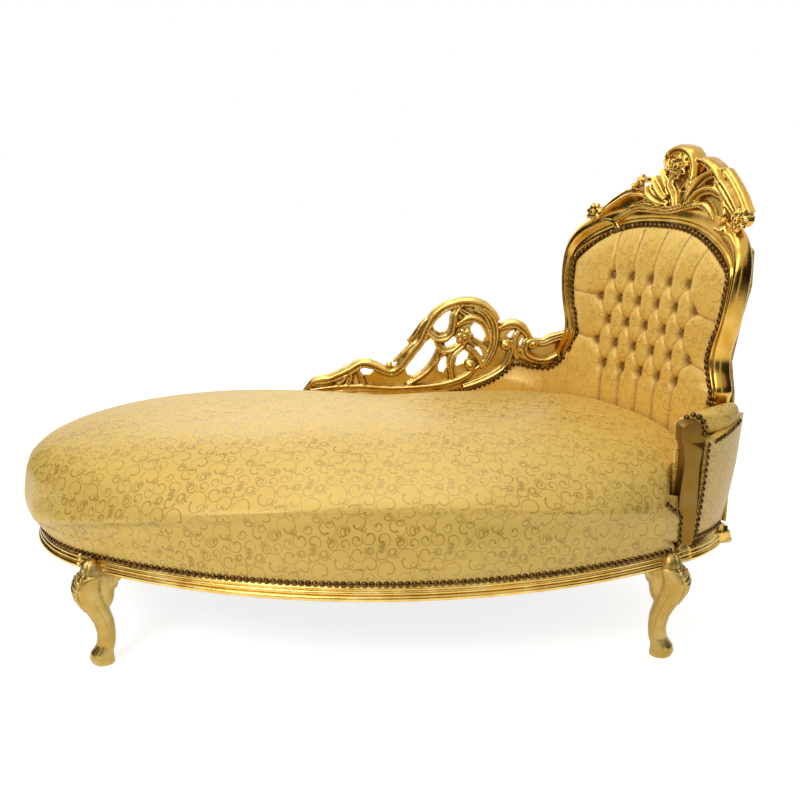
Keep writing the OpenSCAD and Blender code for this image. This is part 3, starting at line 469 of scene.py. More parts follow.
# one repeat of the woven scrolls, 160 wide: centre across and up, radius, hand and turn of each curl
REPEAT = 160.0
REPEATS_A_METRE = 1000 / 0.90
CURLS = [
    (92, 34, 27, -1, 154), (44, 10, 25, -1, 273), (135, 118, 24, -1, 209), (65, 107, 22, 1, 288),
    (89, 144, 21, -1, 236), (128, 2, 20, 1, 139), (2, 23, 19, -1, 211), (135, 49, 18, -1, 13),
    (2, 85, 17, 1, 130), (35, 80, 16, 1, 259), (29, 49, 15, -1, 79), (101, 99, 14, 1, 29),
    (76, 72, 14, -1, 108), (0, 149, 13, -1, 158), (133, 80, 12, -1, 11), (105, 72, 12, 1, 252),
    (22, 109, 11, 1, 169), (57, 51, 11, 1, 334), (46, 134, 10, 1, 93), (3, 56, 10, 1, 193)]
# the largest curls carry a second leaf, the middling ones a leaf and a smaller curl
TWO_LEAVES, ONE_LEAF, WITH_PARTNER = 8, 12, 11
ARM_TURNS = 0.985
CURL_IN = (0.02, -0.64)


def local_point(tree, ins):
    """The point in a curl's own measure: turned, mirrored and divided by its radius."""
    p = put(tree, "VectorMath", [ins["Point"], ins["Centre"]], operation="SUBTRACT").outputs[0]
    half = (REPEAT / 2,) * 3
    p = put(tree, "VectorMath", [p, half, tuple(-h for h in half)], operation="WRAP").outputs[0]
    return put(tree, "Mapping", [p, None, ins["Turn"], ins["Size"]], vector_type="TEXTURE").outputs[0]


def new_group(name, sockets, result):
    group = bpy.data.node_groups.new(name, "ShaderNodeTree")
    for label, kind in sockets:
        group.interface.new_socket(label, in_out="INPUT", socket_type=kind)
    group.interface.new_socket(result, in_out="OUTPUT", socket_type="NodeSocketFloat")
    inside = group.nodes.new("NodeGroupInput")
    end = group.nodes.new("NodeGroupOutput")
    return group, {s.name: s for s in inside.outputs if s.name}, end.inputs[0]


CURL_SOCKETS = [("Point", "NodeSocketVector"), ("Centre", "NodeSocketVector"),
                ("Turn", "NodeSocketVector"), ("Size", "NodeSocketVector"), ("Radius", "NodeSocketFloat")]


def curl_group():
    """Distance to one curl of the damask: an arm that swells and winds in to a bead."""
    tree, ins, result = new_group("damask_curl", CURL_SOCKETS, "Distance")
    q = local_point(tree, ins)
    xyz = put(tree, "SeparateXYZ", [q]).outputs
    reach = put(tree, "VectorMath", [q], operation="LENGTH").outputs["Value"]
    round_ = calc(tree, "ARCTAN2", xyz[1], xyz[0])
    share = calc(tree, "FRACT", calc(tree, "MULTIPLY", round_, 0.5 / math.pi))
    arm = calc(tree, "MULTIPLY_ADD", share, calc(tree, "MULTIPLY_ADD", share, CURL_IN[1], CURL_IN[0]), 1.0)
    off = calc(tree, "ABSOLUTE", calc(tree, "SUBTRACT", reach, arm))
    thick = calc(tree, "POWER", calc(tree, "MULTIPLY", share, 1 / ARM_TURNS), 2.0)
    line = calc(tree, "MULTIPLY_ADD", off, ins["Radius"], -0.72)
    line = calc(tree, "MULTIPLY_ADD", thick, -1.7, line)
    past = calc(tree, "GREATER_THAN", share, ARM_TURNS)
    line = calc(tree, "MULTIPLY_ADD", past, 50.0, line)
    end_r = 1.0 + CURL_IN[0] * ARM_TURNS + CURL_IN[1] * ARM_TURNS ** 2
    end_a = 2 * math.pi * ARM_TURNS
    bead = put(tree, "VectorMath", [q, (end_r * math.cos(end_a), end_r * math.sin(end_a), 0)],
               operation="DISTANCE").outputs["Value"]
    bead = calc(tree, "MULTIPLY_ADD", bead, ins["Radius"], -2.9)
    tree.links.new(calc(tree, "MINIMUM", line, bead), result)
    return tree


def leaf_group(name, at, size, start):
    """Distance to a three-lobed leaf that grows from a curl at this place."""
    tree, ins, result = new_group(name, CURL_SOCKETS, "Distance")
    q = put(tree, "VectorMath", [local_point(tree, ins), at], operation="SUBTRACT").outputs[0]
    xyz = put(tree, "SeparateXYZ", [q]).outputs
    reach = put(tree, "VectorMath", [q], operation="LENGTH").outputs["Value"]
    round_ = calc(tree, "ARCTAN2", xyz[1], xyz[0])
    lobes = calc(tree, "ABSOLUTE", calc(tree, "COSINE", calc(tree, "MULTIPLY_ADD", round_, 1.5, start)))
    edge = calc(tree, "MULTIPLY", calc(tree, "POWER", lobes, 3.6), -size)
    tree.links.new(calc(tree, "MULTIPLY_ADD", reach, ins["Radius"], edge), result)
    return tree


def scrolls_group():
    """All the curls and leaves of one repeat: 1 on the figure, 0 on the ground."""
    curl = curl_group()
    foot_leaf = leaf_group("damask_foot_leaf", (1.04, -0.14, 0), 7.6, 1.8)
    side_leaf = leaf_group("damask_side_leaf", (-1.10, 0.10, 0), 6.2, 0.5)
    tree, ins, result = new_group("damask_scrolls", [("Point", "NodeSocketVector")], "Figure")
    near = None
    both = list(CURLS)
    for x, y, radius, hand, turn in CURLS[:WITH_PARTNER]:
        # a smaller curl runs back from the outer end of each, so that the two make an S
        far = 1.46 * radius
        both.append((x + far * math.cos(math.radians(turn)), y + far * math.sin(math.radians(turn)),
                     0.46 * radius, hand, turn + 180))
    for k, (x, y, radius, hand, turn) in enumerate(both):
        for group in [curl] + [foot_leaf] * (k < ONE_LEAF) + [side_leaf] * (k < TWO_LEAVES):
            n = tree.nodes.new("ShaderNodeGroup")
            n.node_tree = group
            tree.links.new(ins["Point"], n.inputs["Point"])
            n.inputs["Centre"].default_value = (x, y, 0)
            n.inputs["Turn"].default_value = (0, 0, math.radians(turn))
            n.inputs["Size"].default_value = (radius, hand * radius, 1)
            n.inputs["Radius"].default_value = radius
            near = n.outputs[0] if near is None else calc(tree, "MINIMUM", near, n.outputs[0])
    tree.links.new(spread(tree, near, -0.5, 0.5, 1.0, 0.0), result)
    return tree


SCROLLS = scrolls_group()


def damask(name, ground, figure, deep):
    """Satin damask: a bright ground with darker, smoother scrolls that shine in the light, and painted shade where
    the 'hollow' attribute is set.
    """
    material, tree = new_material(name)
    cloth = put(tree, "UVMap", uv_map="cloth").outputs[0]
    woven = tree.nodes.new("ShaderNodeGroup")
    woven.node_tree = SCROLLS
    point = put(tree, "Mapping", [cloth, (40, 25, 0), None, (REPEATS_A_METRE, REPEATS_A_METRE, 1)]).outputs[0]
    tree.links.new(point, woven.inputs[0])
    here = put(tree, "TexCoord").outputs["Object"]
    cloudy = noise(tree, here, 5.0, 3.0)
    fig = calc(tree, "MULTIPLY", woven.outputs[0], spread(tree, cloudy, 0.35, 0.65, 0.62, 0.95))
    base = blend_colour(tree, spread(tree, cloudy, 0.3, 0.7, 0.0, 0.45), ground, deep)
    colour = blend_colour(tree, fig, base, figure)
    # painted shade: where the 'hollow' attribute marks the folds and pits of the tufting, the cloth is painted dark
    # brown for the shade in them
    fold = put(tree, "Attribute", attribute_name="hollow").outputs["Fac"]
    colour = blend_colour(tree, calc(tree, "MULTIPLY", fold, 0.95, clamp=True), colour, rgb(92, 46, 8))
    # warp and weft, and the slight unevenness of stretched cloth
    weave = noise(tree, stretched(tree, cloth, (2600, 900, 1)), 1.0, 1.0)
    uneven = noise(tree, here, 26.0, 2.0)
    high = calc(tree, "MULTIPLY_ADD", uneven, 6.0, calc(tree, "MULTIPLY", weave, 0.35))
    finish_material(tree, colour, spread(tree, fig, 0.0, 1.0, 0.46, 0.24), 0.12, bump(tree, 0.35, 0.0004, high),
                    **{"Sheen Weight": 0.07, "Sheen Roughness": 0.4, "Sheen Tint": (1, 0.85, 0.5, 1),
                       "Specular IOR Level": 0.5})
    return material


def gold_leaf(name, tint=(1, 1, 1, 1), rough_low=0.16, rough_high=0.36):
    """Burnished leaf: bright on the ridges, browner in the hollows, with laps and rubbed patches."""
    material, tree = new_material(name)
    here = put(tree, "TexCoord").outputs["Object"]
    hollow = put(tree, "Attribute", attribute_name="hollow").outputs["Fac"]
    patchy = noise(tree, here, 22.0, 4.0)
    fine = noise(tree, here, 240.0, 3.0)
    colour = ramp(tree, patchy, [(0.3, rgb(206, 164, 76)), (0.52, rgb(224, 187, 100)), (0.75, rgb(242, 213, 138))])
    dark = spread(tree, hollow, 0.56, 0.88, 0.0, 0.9)
    colour = blend_colour(tree, dark, colour, rgb(92, 62, 18))
    colour = blend_colour(tree, spread(tree, hollow, 0.42, 0.15, 0.0, 0.5), colour, rgb(255, 232, 160))
    # tint: whole copies of the leaf are made darker or more orange here, painted shade for the frame, the legs and
    # the post
    colour = blend_colour(tree, 1.0, colour, tint, "MULTIPLY")
    rough = spread(tree, patchy, 0.3, 0.7, rough_low, rough_high)
    rough = calc(tree, "MULTIPLY_ADD", dark, 0.25, rough, clamp=True)
    high = calc(tree, "MULTIPLY_ADD", patchy, 3.0, calc(tree, "MULTIPLY", fine, 0.35))
    finish_material(tree, colour, rough, 1.0, bump(tree, 0.3, 0.0006, high))
    return material


def bronze_nails():
    material, tree = new_material("bronze_nails")
    patchy = noise(tree, put(tree, "TexCoord").outputs["Object"], 90.0, 3.0)
    colour = ramp(tree, patchy, [(0.3, rgb(66, 46, 20)), (0.55, rgb(106, 78, 38)), (0.8, rgb(158, 120, 64))])
    finish_material(tree, colour, 0.24, 1.0, bump(tree, 0.25, 0.0004, patchy))
    return material


def sawn_timber():
    material, tree = new_material("sawn_beech")
    along = stretched(tree, put(tree, "TexCoord").outputs["Object"], (6, 60, 60))
    grain = noise(tree, along, 1.0, 6.0, Distortion=0.6)
    colour = ramp(tree, grain, [(0.3, rgb(166, 126, 84)), (0.6, rgb(198, 160, 114)), (0.8, rgb(214, 180, 136))])
    finish_material(tree, colour, 0.6, 0.0, bump(tree, 0.3, 0.0005, grain))
    return material


def plain_cloth(name, dark, light, scale):
    """A plain weave: crossing threads with a little colour change."""
    material, tree = new_material(name)
    here = put(tree, "TexCoord").outputs["Object"]
    threads = [put(tree, "TexWave", {"Vector": here, "Scale": scale, "Distortion": 1.2},
                   bands_direction=d).outputs["Fac"] for d in "XY"]
    crossing = calc(tree, "MULTIPLY", *threads)
    colour = ramp(tree, crossing, [(0.0, dark), (1.0, light)])
    finish_material(tree, colour, 0.9, 0.0, bump(tree, 0.5, 0.0006, crossing))
    return material


GOLD = gold_leaf("gold_leaf")
# painted shade: the same gold leaf made darker and more orange for the back's frame and the crest
FRAME_GOLD_SHADED = gold_leaf("frame_gold_leaf_painted_darker", (0.84, 0.72, 0.48, 1), 0.14, 0.30)
# painted shade: the same gold leaf made darker for the legs, against the light they take from the bright floor
LEG_GOLD_SHADED = gold_leaf("leg_gold_leaf_painted_darker", (0.62, 0.62, 0.62, 1), 0.26, 0.46)
# painted shade: the same gold leaf made much darker for the arm post, whose front shows dark in its light
POST_GOLD_SHADED = gold_leaf("post_gold_leaf_painted_dark", (0.31, 0.26, 0.18, 1), 0.30, 0.50)
NAIL = bronze_nails()
SEAT_DAMASK = damask("seat_damask", rgb(236, 199, 100), rgb(182, 143, 54), rgb(226, 182, 82))
# painted light: the seat's damask again, painted brighter and warmer with a paler figure, for the extra light and
# warm reflected light on the back, its buttons and the side's cloth
DAMASK_PAINTED_LIGHT = damask("damask_painted_light", rgb(250, 208, 104), rgb(226, 178, 80), rgb(236, 188, 86))
BEECH = sawn_timber()
JUTE = plain_cloth("jute_webbing", rgb(130, 104, 66), rgb(196, 168, 120), 260)
LINING = plain_cloth("dust_lining", rgb(38, 32, 26), rgb(78, 68, 56), 900)


# ---------------------------------------------------------------- camera, lamps, floor
def set_camera():
    cam = bpy.data.objects.new("camera", bpy.data.cameras.new("camera"))
    cam.data.lens = CAMERA_LENS
    cam.data.sensor_width = 36
    cam.location = CAMERA_AT
    cam.rotation_euler = (math.radians(90 - CAMERA_TILT), 0, math.radians(-CAMERA_YAW))
    scene.collection.objects.link(cam)
    scene.camera = cam


def soft_lamp(name, at, aim, size, power):
    lamp = bpy.data.lights.new(name, "AREA")
    lamp.shape = "RECTANGLE"
    lamp.size, lamp.size_y = size
    lamp.energy = power
    o = bpy.data.objects.new(name, lamp)
    o.location = at
    o.rotation_euler = (Vector(aim) - Vector(at)).to_track_quat("-Z", "Y").to_euler()
    scene.collection.objects.link(o)


def seen_rays(tree):
    """1 for the rays that show the background: straight, mirrored and through glass."""
    path = put(tree, "LightPath").outputs
    most = calc(tree, "MAXIMUM", path["Is Camera Ray"], path["Is Glossy Ray"])
    return calc(tree, "MAXIMUM", most, path["Is Transmission Ray"])


def set_studio():
    world = bpy.data.worlds.new("studio")
    scene.world = world
    world.use_nodes = True
    tree = world.node_tree
    tree.nodes.clear()
    level = spread(tree, seen_rays(tree), 0.0, 1.0, SKY_LIGHT, 1.0)
    sky = put(tree, "Background", [(1.0, 1.0, 1.0, 1), level])
    tree.links.new(sky.outputs[0], put(tree, "OutputWorld").inputs[0])

    floor_material, tree = new_material("pale_floor")
    matt = put(tree, "BsdfDiffuse", [(0.82, 0.82, 0.82, 1)])
    glow = put(tree, "Emission", [(1, 1, 1, 1), calc(tree, "MULTIPLY", seen_rays(tree), FLOOR_GLOW)])
    show_as(tree, put(tree, "AddShader", [matt.outputs[0], glow.outputs[0]]))
    drop_selection()
    bpy.ops.mesh.primitive_circle_add(vertices=96, radius=14, fill_type="NGON", location=(0, 0, -0.0005))
    floor = bpy.context.active_object
    floor.name = "floor"
    bpy.ops.object.transform_apply(location=True)
    floor.data.materials.append(floor_material)

    # dark cards behind the camera give the gold something to show beside the lamps
    card_material, tree = new_material("dark_card")
    show_as(tree, put(tree, "BsdfDiffuse", [(0.05, 0.045, 0.04, 1)]))
    for name, a0, a1, low, high in (("card_left", 140, 228, 0.1, 2.8), ("card_middle", 244, 294, 0.1, 2.1),
                                    ("card_right", 304, 372, 0.1, 2.8)):
        a = np.radians(np.linspace(a0, a1, 13))
        rows = [np.column_stack([3.4 * np.cos(a), 3.4 * np.sin(a), np.full(13, z)]) for z in (low, high)]
        card = from_mesh(name, np.vstack(rows), [(k, k + 1, k + 14, k + 13) for k in range(12)])
        card.data.materials.append(card_material)
        card.visible_camera = card.visible_shadow = card.visible_diffuse = False

    soft_lamp("key_lamp", (-1.7, -2.6, 2.9), (0, 0, 0.4), (1.6, 1.6), 52)
    soft_lamp("fill_lamp", (2.4, -2.2, 2.0), (0.2, 0, 0.5), (1.2, 1.6), 3)
    soft_lamp("top_lamp", (-0.2, 0.2, 3.2), (0, 0, 0.4), (2.6, 1.4), 24)
    soft_lamp("rear_lamp", (-0.6, 2.8, 2.2), (0, 0, 0.5), (2.0, 1.2), 14)


set_camera()
set_studio()


# ---------------------------------------------------------------- seat
def swell(piece, cap, free, frames):
    """The cloth blown up a little: free is 1 where a point may move and 0 where it is held."""
    rest = co_of(piece)
    hold(piece)
    group = piece.vertex_groups.new(name="held")
    grip = np.where(free <= 0.01, 1.0, np.round(1 - free, 1))
    for level in np.unique(grip[free < 0.99]):
        same = np.nonzero((grip == level) & (free < 0.99))[0]
        group.add([int(i) for i in same], float(level), "REPLACE")
    m = piece.modifiers.new("Cloth", "CLOTH")
    s = m.settings
    s.quality = 4
    s.mass = 0.4
    s.tension_stiffness = s.compression_stiffness = 15.0
    s.shear_stiffness = 9.0
    s.bending_stiffness = 0.6
    s.use_pressure = True
    s.uniform_pressure_force = 3.0
    s.vertex_group_mass = "held"
    s.effector_weights.gravity = 0
    m.collision_settings.use_collision = False
    m.point_cache.frame_start, m.point_cache.frame_end = 1, frames
    for f in range(1, frames + 1):
        scene.frame_set(f)
    shaped = piece.evaluated_get(bpy.context.evaluated_depsgraph_get())
    move = co_of(shaped) - rest
    bpy.ops.object.modifier_apply(modifier=m.name)
    scene.frame_set(1)
    size = np.linalg.norm(move, axis=1)
    move *= (np.minimum(size, cap) / np.maximum(size, 1e-9))[:, None]
    set_co(piece, rest + move * free[:, None])
    piece.vertex_groups.clear()


def seat_cushion():
    """The sprung and stuffed seat under its stretched cover."""
    piece = merged_copy("seat_cushion", "seat_cushion_cloth")
    finish_with(piece, "REMESH", mode="VOXEL", voxel_size=0.008, use_smooth_shade=True)
    finish_with(piece, "SMOOTH", factor=0.5, iterations=10)
    co = co_of(piece)
    p = co[:, :2] - SEAT_CENTRE
    a, r = np.arctan2(p[:, 1], p[:, 0]), np.hypot(p[:, 0], p[:, 1])
    # back onto the true dome, which the facets and the smoothing had drawn in
    top = (co[:, 2] > BELLY_Z + 0.004) & (r < free_r(a) * 0.985)
    near = ease((free_r(a) * 0.985 - r) / 0.05)
    target = dome_z(a, r)
    inner = (np.abs(target - co[:, 2]) < 0.02) & top
    co[:, 2] = np.where(inner, co[:, 2] * (1 - near) + target * near, co[:, 2])
    set_co(piece, co)
    free = ease((co[:, 2] - 0.285) / 0.05) * 0.8
    swell(piece, 0.012, free, frames=16)
    finish_with(piece, "SMOOTH", factor=0.5, iterations=2)
    finish_with(piece, "SUBSURF", levels=1, render_levels=1)
    co, no = co_of(piece), normals_of(piece)
    p, z = co[:, :2] - SEAT_CENTRE, co[:, 2]
    a = np.arctan2(p[:, 1], p[:, 0])
    along = np.where(p[:, 0] < FOOT[0], np.arctan2(p[:, 1], p[:, 0] - FOOT[0]) * END_R, p[:, 0])
    # gathers where the cloth turns round the foot end
    turn = ease((-0.40 - p[:, 0]) / 0.15) * ease((0.30 - p[:, 1]) / 0.2)
    low = ease((0.315 - z) / 0.05) * ease((z - 0.256) / 0.006)
    fold = 0.0022 * turn * low * np.sin(along * 2 * math.pi / 0.019 + 2.2 * np.sin(along * 31))
    # slow waves of the stretched cover
    slow = 0.0016 * np.sin(p[:, 0] * 21 + 3 * p[:, 1]) * ease((0.46 - z) / 0.08) * ease((z - 0.262) / 0.03)
    slow *= ease((0.62 - p[:, 0]) / 0.05)
    # the firm edge of the stuffing along the front, and the flat border below it
    front = ease((-outline_normal(a)[:, 1] - 0.40) / 0.45) * (p[:, 1] < 0) * ease((0.60 - p[:, 0]) / 0.12)
    above = z - (0.396 - 0.155 * p[:, 0] ** 2)
    firm = 0.0110
    edge = np.where(above > 0, firm * np.exp(-(above / 0.030) ** 2),
                    firm * np.exp(-(above / 0.012) ** 2) - firm / 2 * np.exp(-((above + 0.050) / 0.045) ** 4))
    co += no * (fold + slow + edge * front)[:, None]
    set_co(piece, co)
    smooth(piece)
    lay_cloth(piece, seat_cloth)
    dress(piece, SEAT_DAMASK, ["seat_cushion"])
    return piece


def seat_edge(seat):
    """The cover's lower edge, drawn down from the cushion over the rail and nailed."""
    path = seat_path(0, end=0.634)
    rings = []
    for p, way in zip(path, outward(path)):
        start = p + way * 0.2 + SEAT_CENTRE
        hit = onto(seat, (*start, 0.286), (*-way, 0))
        d = float((hit[0][:2] - SEAT_CENTRE - p) @ way) if hit else 0.002
        section = np.array([(-0.0016, 0.2438), (0.0012, 0.2438), (0.0017, 0.2500), (0.0022 + 0.1 * d, 0.2590),
                            (0.0022 + 0.55 * d, 0.2710), (d + 0.0004, 0.2850), (d - 0.0030, 0.2860),
                            (-0.0030, 0.2600), (-0.0030, 0.2564), (-0.0016, 0.2564)])
        rings.append(place3(p + way * section[:, :1], section[:, 1]))
    piece = closed_tube("seat_cover_edge", rings)
    lay_cloth(piece, seat_cloth)
    smooth(piece, 60)
    return dress(piece, SEAT_DAMASK)


# ---------------------------------------------------------------- nails
NAIL_R = 0.0067
NAIL_PITCH, SEAT_NAIL_PITCH = 0.0144, 0.0143
SEAT_NAIL_Z = 0.2500


def nail_head():
    """A domed nail head of few faces, modelled once."""
    drop_selection()
    bpy.ops.mesh.primitive_uv_sphere_add(segments=12, ring_count=8, radius=NAIL_R, location=(0, 0, 0))
    head = bpy.context.active_object
    edited(head, (bpy.ops.mesh.bisect, {"plane_co": (0, 0, 0), "plane_no": (0, 0, 1), "clear_inner": True,
                                        "use_fill": True}),
           (bpy.ops.transform.resize, {"value": (1, 1, 0.80)}))
    head.name = "nail_head"
    return head


HEAD_SHAPE = nail_head()


def copies_at(name, shape, points, ways):
    """Copies of a shape at these points, each turned to face its way out, joined in one piece."""
    made = []
    for p, way in zip(points, ways):
        one = bpy.data.objects.new("copy", shape.data.copy())
        turned = Vector(way).normalized().to_track_quat("Z", "Y").to_matrix().to_4x4()
        one.data.transform(Matrix.Translation(Vector(p)) @ turned)
        scene.collection.objects.link(one)
        made.append(one)
    return joined(name, made)


def nail_row(name, points, ways):
    return dress(smooth(copies_at(name, HEAD_SHAPE, points, ways), 50), NAIL)


def seat_nails():
    """Nails round the seat, through the lower edge of its cover."""
    path = evenly(seat_path(0.0020, end=0.626), SEAT_NAIL_PITCH)
    ways = np.column_stack([outward(path), np.full(len(path), 0.12)])
    return nail_row("seat_nails", place3(path, SEAT_NAIL_Z), ways)


# ---------------------------------------------------------------- tufted back
PAD_HALF = [(-240, 262), (-115, 264), (-92, 250), (-45, 230), (0, 240), (38, 254), (80, 261), (246, 261)]
BUTTON_ROWS = [(2, 5), (1, 6), (0, 5), (-1, 6), (-2, 5)]
BUTTONS = BUTTON_MID + [((k - (n - 1) / 2) * PITCH, r * ROW) for r, n in BUTTON_ROWS for k in range(n)]
PAD_BOTTOM, PAD_TOP, PAD_INSET = -0.240, 0.246, 0.002


def pad_half(v):
    """Half the width of the stuffed back at this height."""
    x, y = np.array(PAD_HALF).T * MM
    i = np.clip(np.searchsorted(x, v) - 1, 0, len(x) - 2)
    f = np.clip((v - x[i]) / (x[i + 1] - x[i]), 0, 1)
    return y[i] + (y[i + 1] - y[i]) * f * f * (3 - 2 * f)


def pad_top_at(s):
    """Height of its top edge, s from -1 on the left to 1 on the right."""
    return PAD_TOP - 0.100 * np.abs(s) ** 2.6


def creases():
    """Fold lines of the tufting: (from, to, depth at the ends, depth in the middle, one-sidedness)."""
    lines = []
    for b in BUTTONS:
        for dx in (-PITCH / 2, PITCH / 2):
            other = b + (dx, ROW)
            if np.min(np.linalg.norm(BUTTONS - other, axis=1)) < 0.004:
                lines.append((b, other, 0.0085, 0.0052, 0.3))
    top, bottom = BUTTONS[:5], BUTTONS[-5:]
    for k, b in enumerate(top):
        end = np.array([b[0] + 0.022 + 0.012 * (k - 2), 0.235])
        lines.append((b, end, 0.0090, 0.0064, 1.0))
    for k, b in enumerate(bottom):
        lines.append((b, np.array([b[0] + 0.004, -0.245]), 0.0105, 0.0095, 1.0))
    for row in (1, 3):
        for side in (-1, 1):
            b = [q for q in BUTTONS if abs(q[1] - BUTTON_MID[1] - (2 - row) * ROW) < 1e-4]
            b = b[0] if side < 0 else b[-1]
            reach = 0.252 if row == 1 else 0.232
            lines.append((b, np.array([side * reach, b[1] - 0.010 * side - 0.004]), 0.0085, 0.0058, 0.8))
    return lines


def back_height(u, v):
    """How far the stuffed cloth stands out from the back at each point, and how much painted shade its pits and
    creases get.
    """
    w = pad_half(v) - PAD_INSET
    s = np.clip(u / w, -1, 1)
    t = np.clip((v - PAD_BOTTOM) / (pad_top_at(s) - PAD_BOTTOM), 0, 1)
    side = np.sqrt(np.maximum(0, 1 - np.abs(s) ** 5))
    up = np.sqrt(np.maximum(0, 1 - t ** 7))
    p = np.stack([u, v], -1)
    near = np.linalg.norm(p[:, None] - BUTTONS[None], axis=-1).min(1)
    near_fold = np.ones(len(u))
    cut = np.zeros(len(u))
    for a, b, deep_end, deep_mid, lap in creases():
        ab = b - a
        length = np.linalg.norm(ab)
        q = p - a
        f = np.clip((q @ ab) / length ** 2, 0, 1)
        off = q - f[:, None] * ab
        d = np.linalg.norm(off, axis=1)
        signed = (q[:, 0] * ab[1] - q[:, 1] * ab[0]) / length
        deep = deep_mid + (deep_end - deep_mid) * (2 * np.abs(f - 0.5)) ** 1.5
        wide = np.where(signed > 0, 0.0038 + 0.004 * lap, 0.0034 - 0.0016 * lap)
        cut = np.maximum(cut, deep * np.exp(-(d / wide) ** 1.25))
        near_fold = np.minimum(near_fold, d)
    pillow = 0.0050 * (1 - np.exp(-near_fold / 0.013))
    tufted = 0.032 + pillow - cut
    pit = 0.0210 * np.exp(-(near / 0.0090) ** 1.5) + 0.006 * np.exp(-(near / 0.024) ** 2)
    # painted shade: 1 round the buttons and in the deepest creases, read as 'hollow' to darken the cloth there
    deep = np.clip(1.2 * np.exp(-(near / 0.0100) ** 2) + (cut / 0.0105) ** 2, 0, 1)
    return np.maximum(0.006, 0.008 + (tufted - pit - 0.008 + 0.0035) * side * up), deep


def tufted_back():
    """The stuffed back: a fine grid raised by back_height, closed behind."""
    cols, rows = 190, 180
    i = np.linspace(-1, 1, cols)
    s = np.sign(i) * (1 - (1 - np.abs(i)) ** 1.15)
    verts, flat, depth = [], [], []
    for t in np.linspace(0, 1, rows):
        v_mid = PAD_BOTTOM + t * (pad_top_at(s) - PAD_BOTTOM)
        u = s * (pad_half(v_mid) - PAD_INSET)
        v = np.minimum(v_mid, pad_top_at(s) - 0.001)
        h, deep = back_height(u, v)
        h = np.where((np.abs(i) > 0.9999) | (t > 0.9999), 0.004, h)
        verts.append(barrel(u, v, h))
        flat.append(np.stack([u, v], -1))
        depth.append(deep)
    flat = np.vstack(flat)
    n = cols * rows
    faces = [(k, k + cols, k + cols + 1, k + 1) for k in range(n - cols) if k % cols < cols - 1]
    rim = (list(range(cols)) + [r * cols + cols - 1 for r in range(1, rows)]
           + [(rows - 1) * cols + c for c in range(cols - 2, -1, -1)] + [r * cols for r in range(rows - 2, 0, -1)])
    ring = [n + k for k in range(len(rim))]
    behind = -0.0017
    verts += [barrel(flat[rim, 0] * 0.999, flat[rim, 1], behind), barrel(0.0, 0.0, behind).reshape(1, 3)]
    for k in range(len(rim)):
        m = (k + 1) % len(rim)
        faces += [(rim[k], rim[m], ring[m], ring[k]), (ring[k], ring[m], n + len(rim))]
    piece = face_out(from_mesh("tufted_back_cloth", np.vstack(verts), faces))
    smooth(piece)
    laid = np.vstack([flat, flat[rim], [[0, 0]]]) + (0.05, 0.03)
    lay_cloth(piece, lambda co: laid)
    # painted shade: the pits and creases are darkened through the 'hollow' attribute
    set_hollow(piece, np.concatenate(depth + [np.zeros(len(rim) + 1)]))
    dress(piece, DAMASK_PAINTED_LIGHT, ["tufted_back"])


def tuft_buttons():
    """One covered button, modelled once and set in every pit."""
    drop_selection()
    bpy.ops.mesh.primitive_uv_sphere_add(segments=20, ring_count=12, radius=BUTTON_R, location=(0, 0, 0))
    one = bpy.context.active_object
    edited(one, (bpy.ops.transform.resize, {"value": (1, 1, 0.46)}),
           (bpy.ops.mesh.bisect, {"plane_co": (0, 0, -0.002), "plane_no": (0, 0, 1), "clear_inner": True,
                                  "use_fill": True}))
    at, above = [barrel(BUTTONS[:, 0], BUTTONS[:, 1] - 0.001, n) for n in (STUFFING - BUTTON_DEPTH, STUFFING)]
    piece = copies_at("tuft_buttons_cloth", one, at, above - at)
    bpy.data.objects.remove(one)
    smooth(piece, 60)
    lay_cloth(piece, barrel_uv)
    # painted shade: the buttons are painted nearly as dark brown as the pits they sink into
    set_hollow(piece, 0.75)
    dress(piece, DAMASK_PAINTED_LIGHT, ["tuft_buttons"])


# ---------------------------------------------------------------- gilt frame
def show_frame():
    """The back's show frame, its facets drawn out into smooth mouldings."""
    piece = merged_copy("back_frame", "back_frame_gilt")
    edited(piece, (bpy.ops.mesh.tris_convert_to_quads, {"face_threshold": math.radians(60),
                                                        "shape_threshold": math.radians(70)}))
    finish_with(piece, "SUBSURF", levels=2, render_levels=2)
    smooth(piece)
    mark_hollows(piece, 1, 300)
    return dress(piece, FRAME_GOLD_SHADED, ["back_frame"])


def gilt_copy(node):
    piece = merged_copy(node, node + "_gilt")
    smooth(piece, 40)
    set_hollow(piece, 0.5)
    return dress(piece, GOLD, [node])


LEGS = {"leg_front_foot": ((-0.613, -0.324), 205), "leg_front_head": ((0.606, -0.324), -25),
        "leg_rear_foot": ((-0.594, 0.322), 155), "leg_rear_head": ((0.492, 0.318), 60)}


def plain_place(a, b, n):
    """A point in plan from the seat's centre, and its height."""
    return np.stack([a + SEAT_CENTRE[0], b + SEAT_CENTRE[1], n], -1)


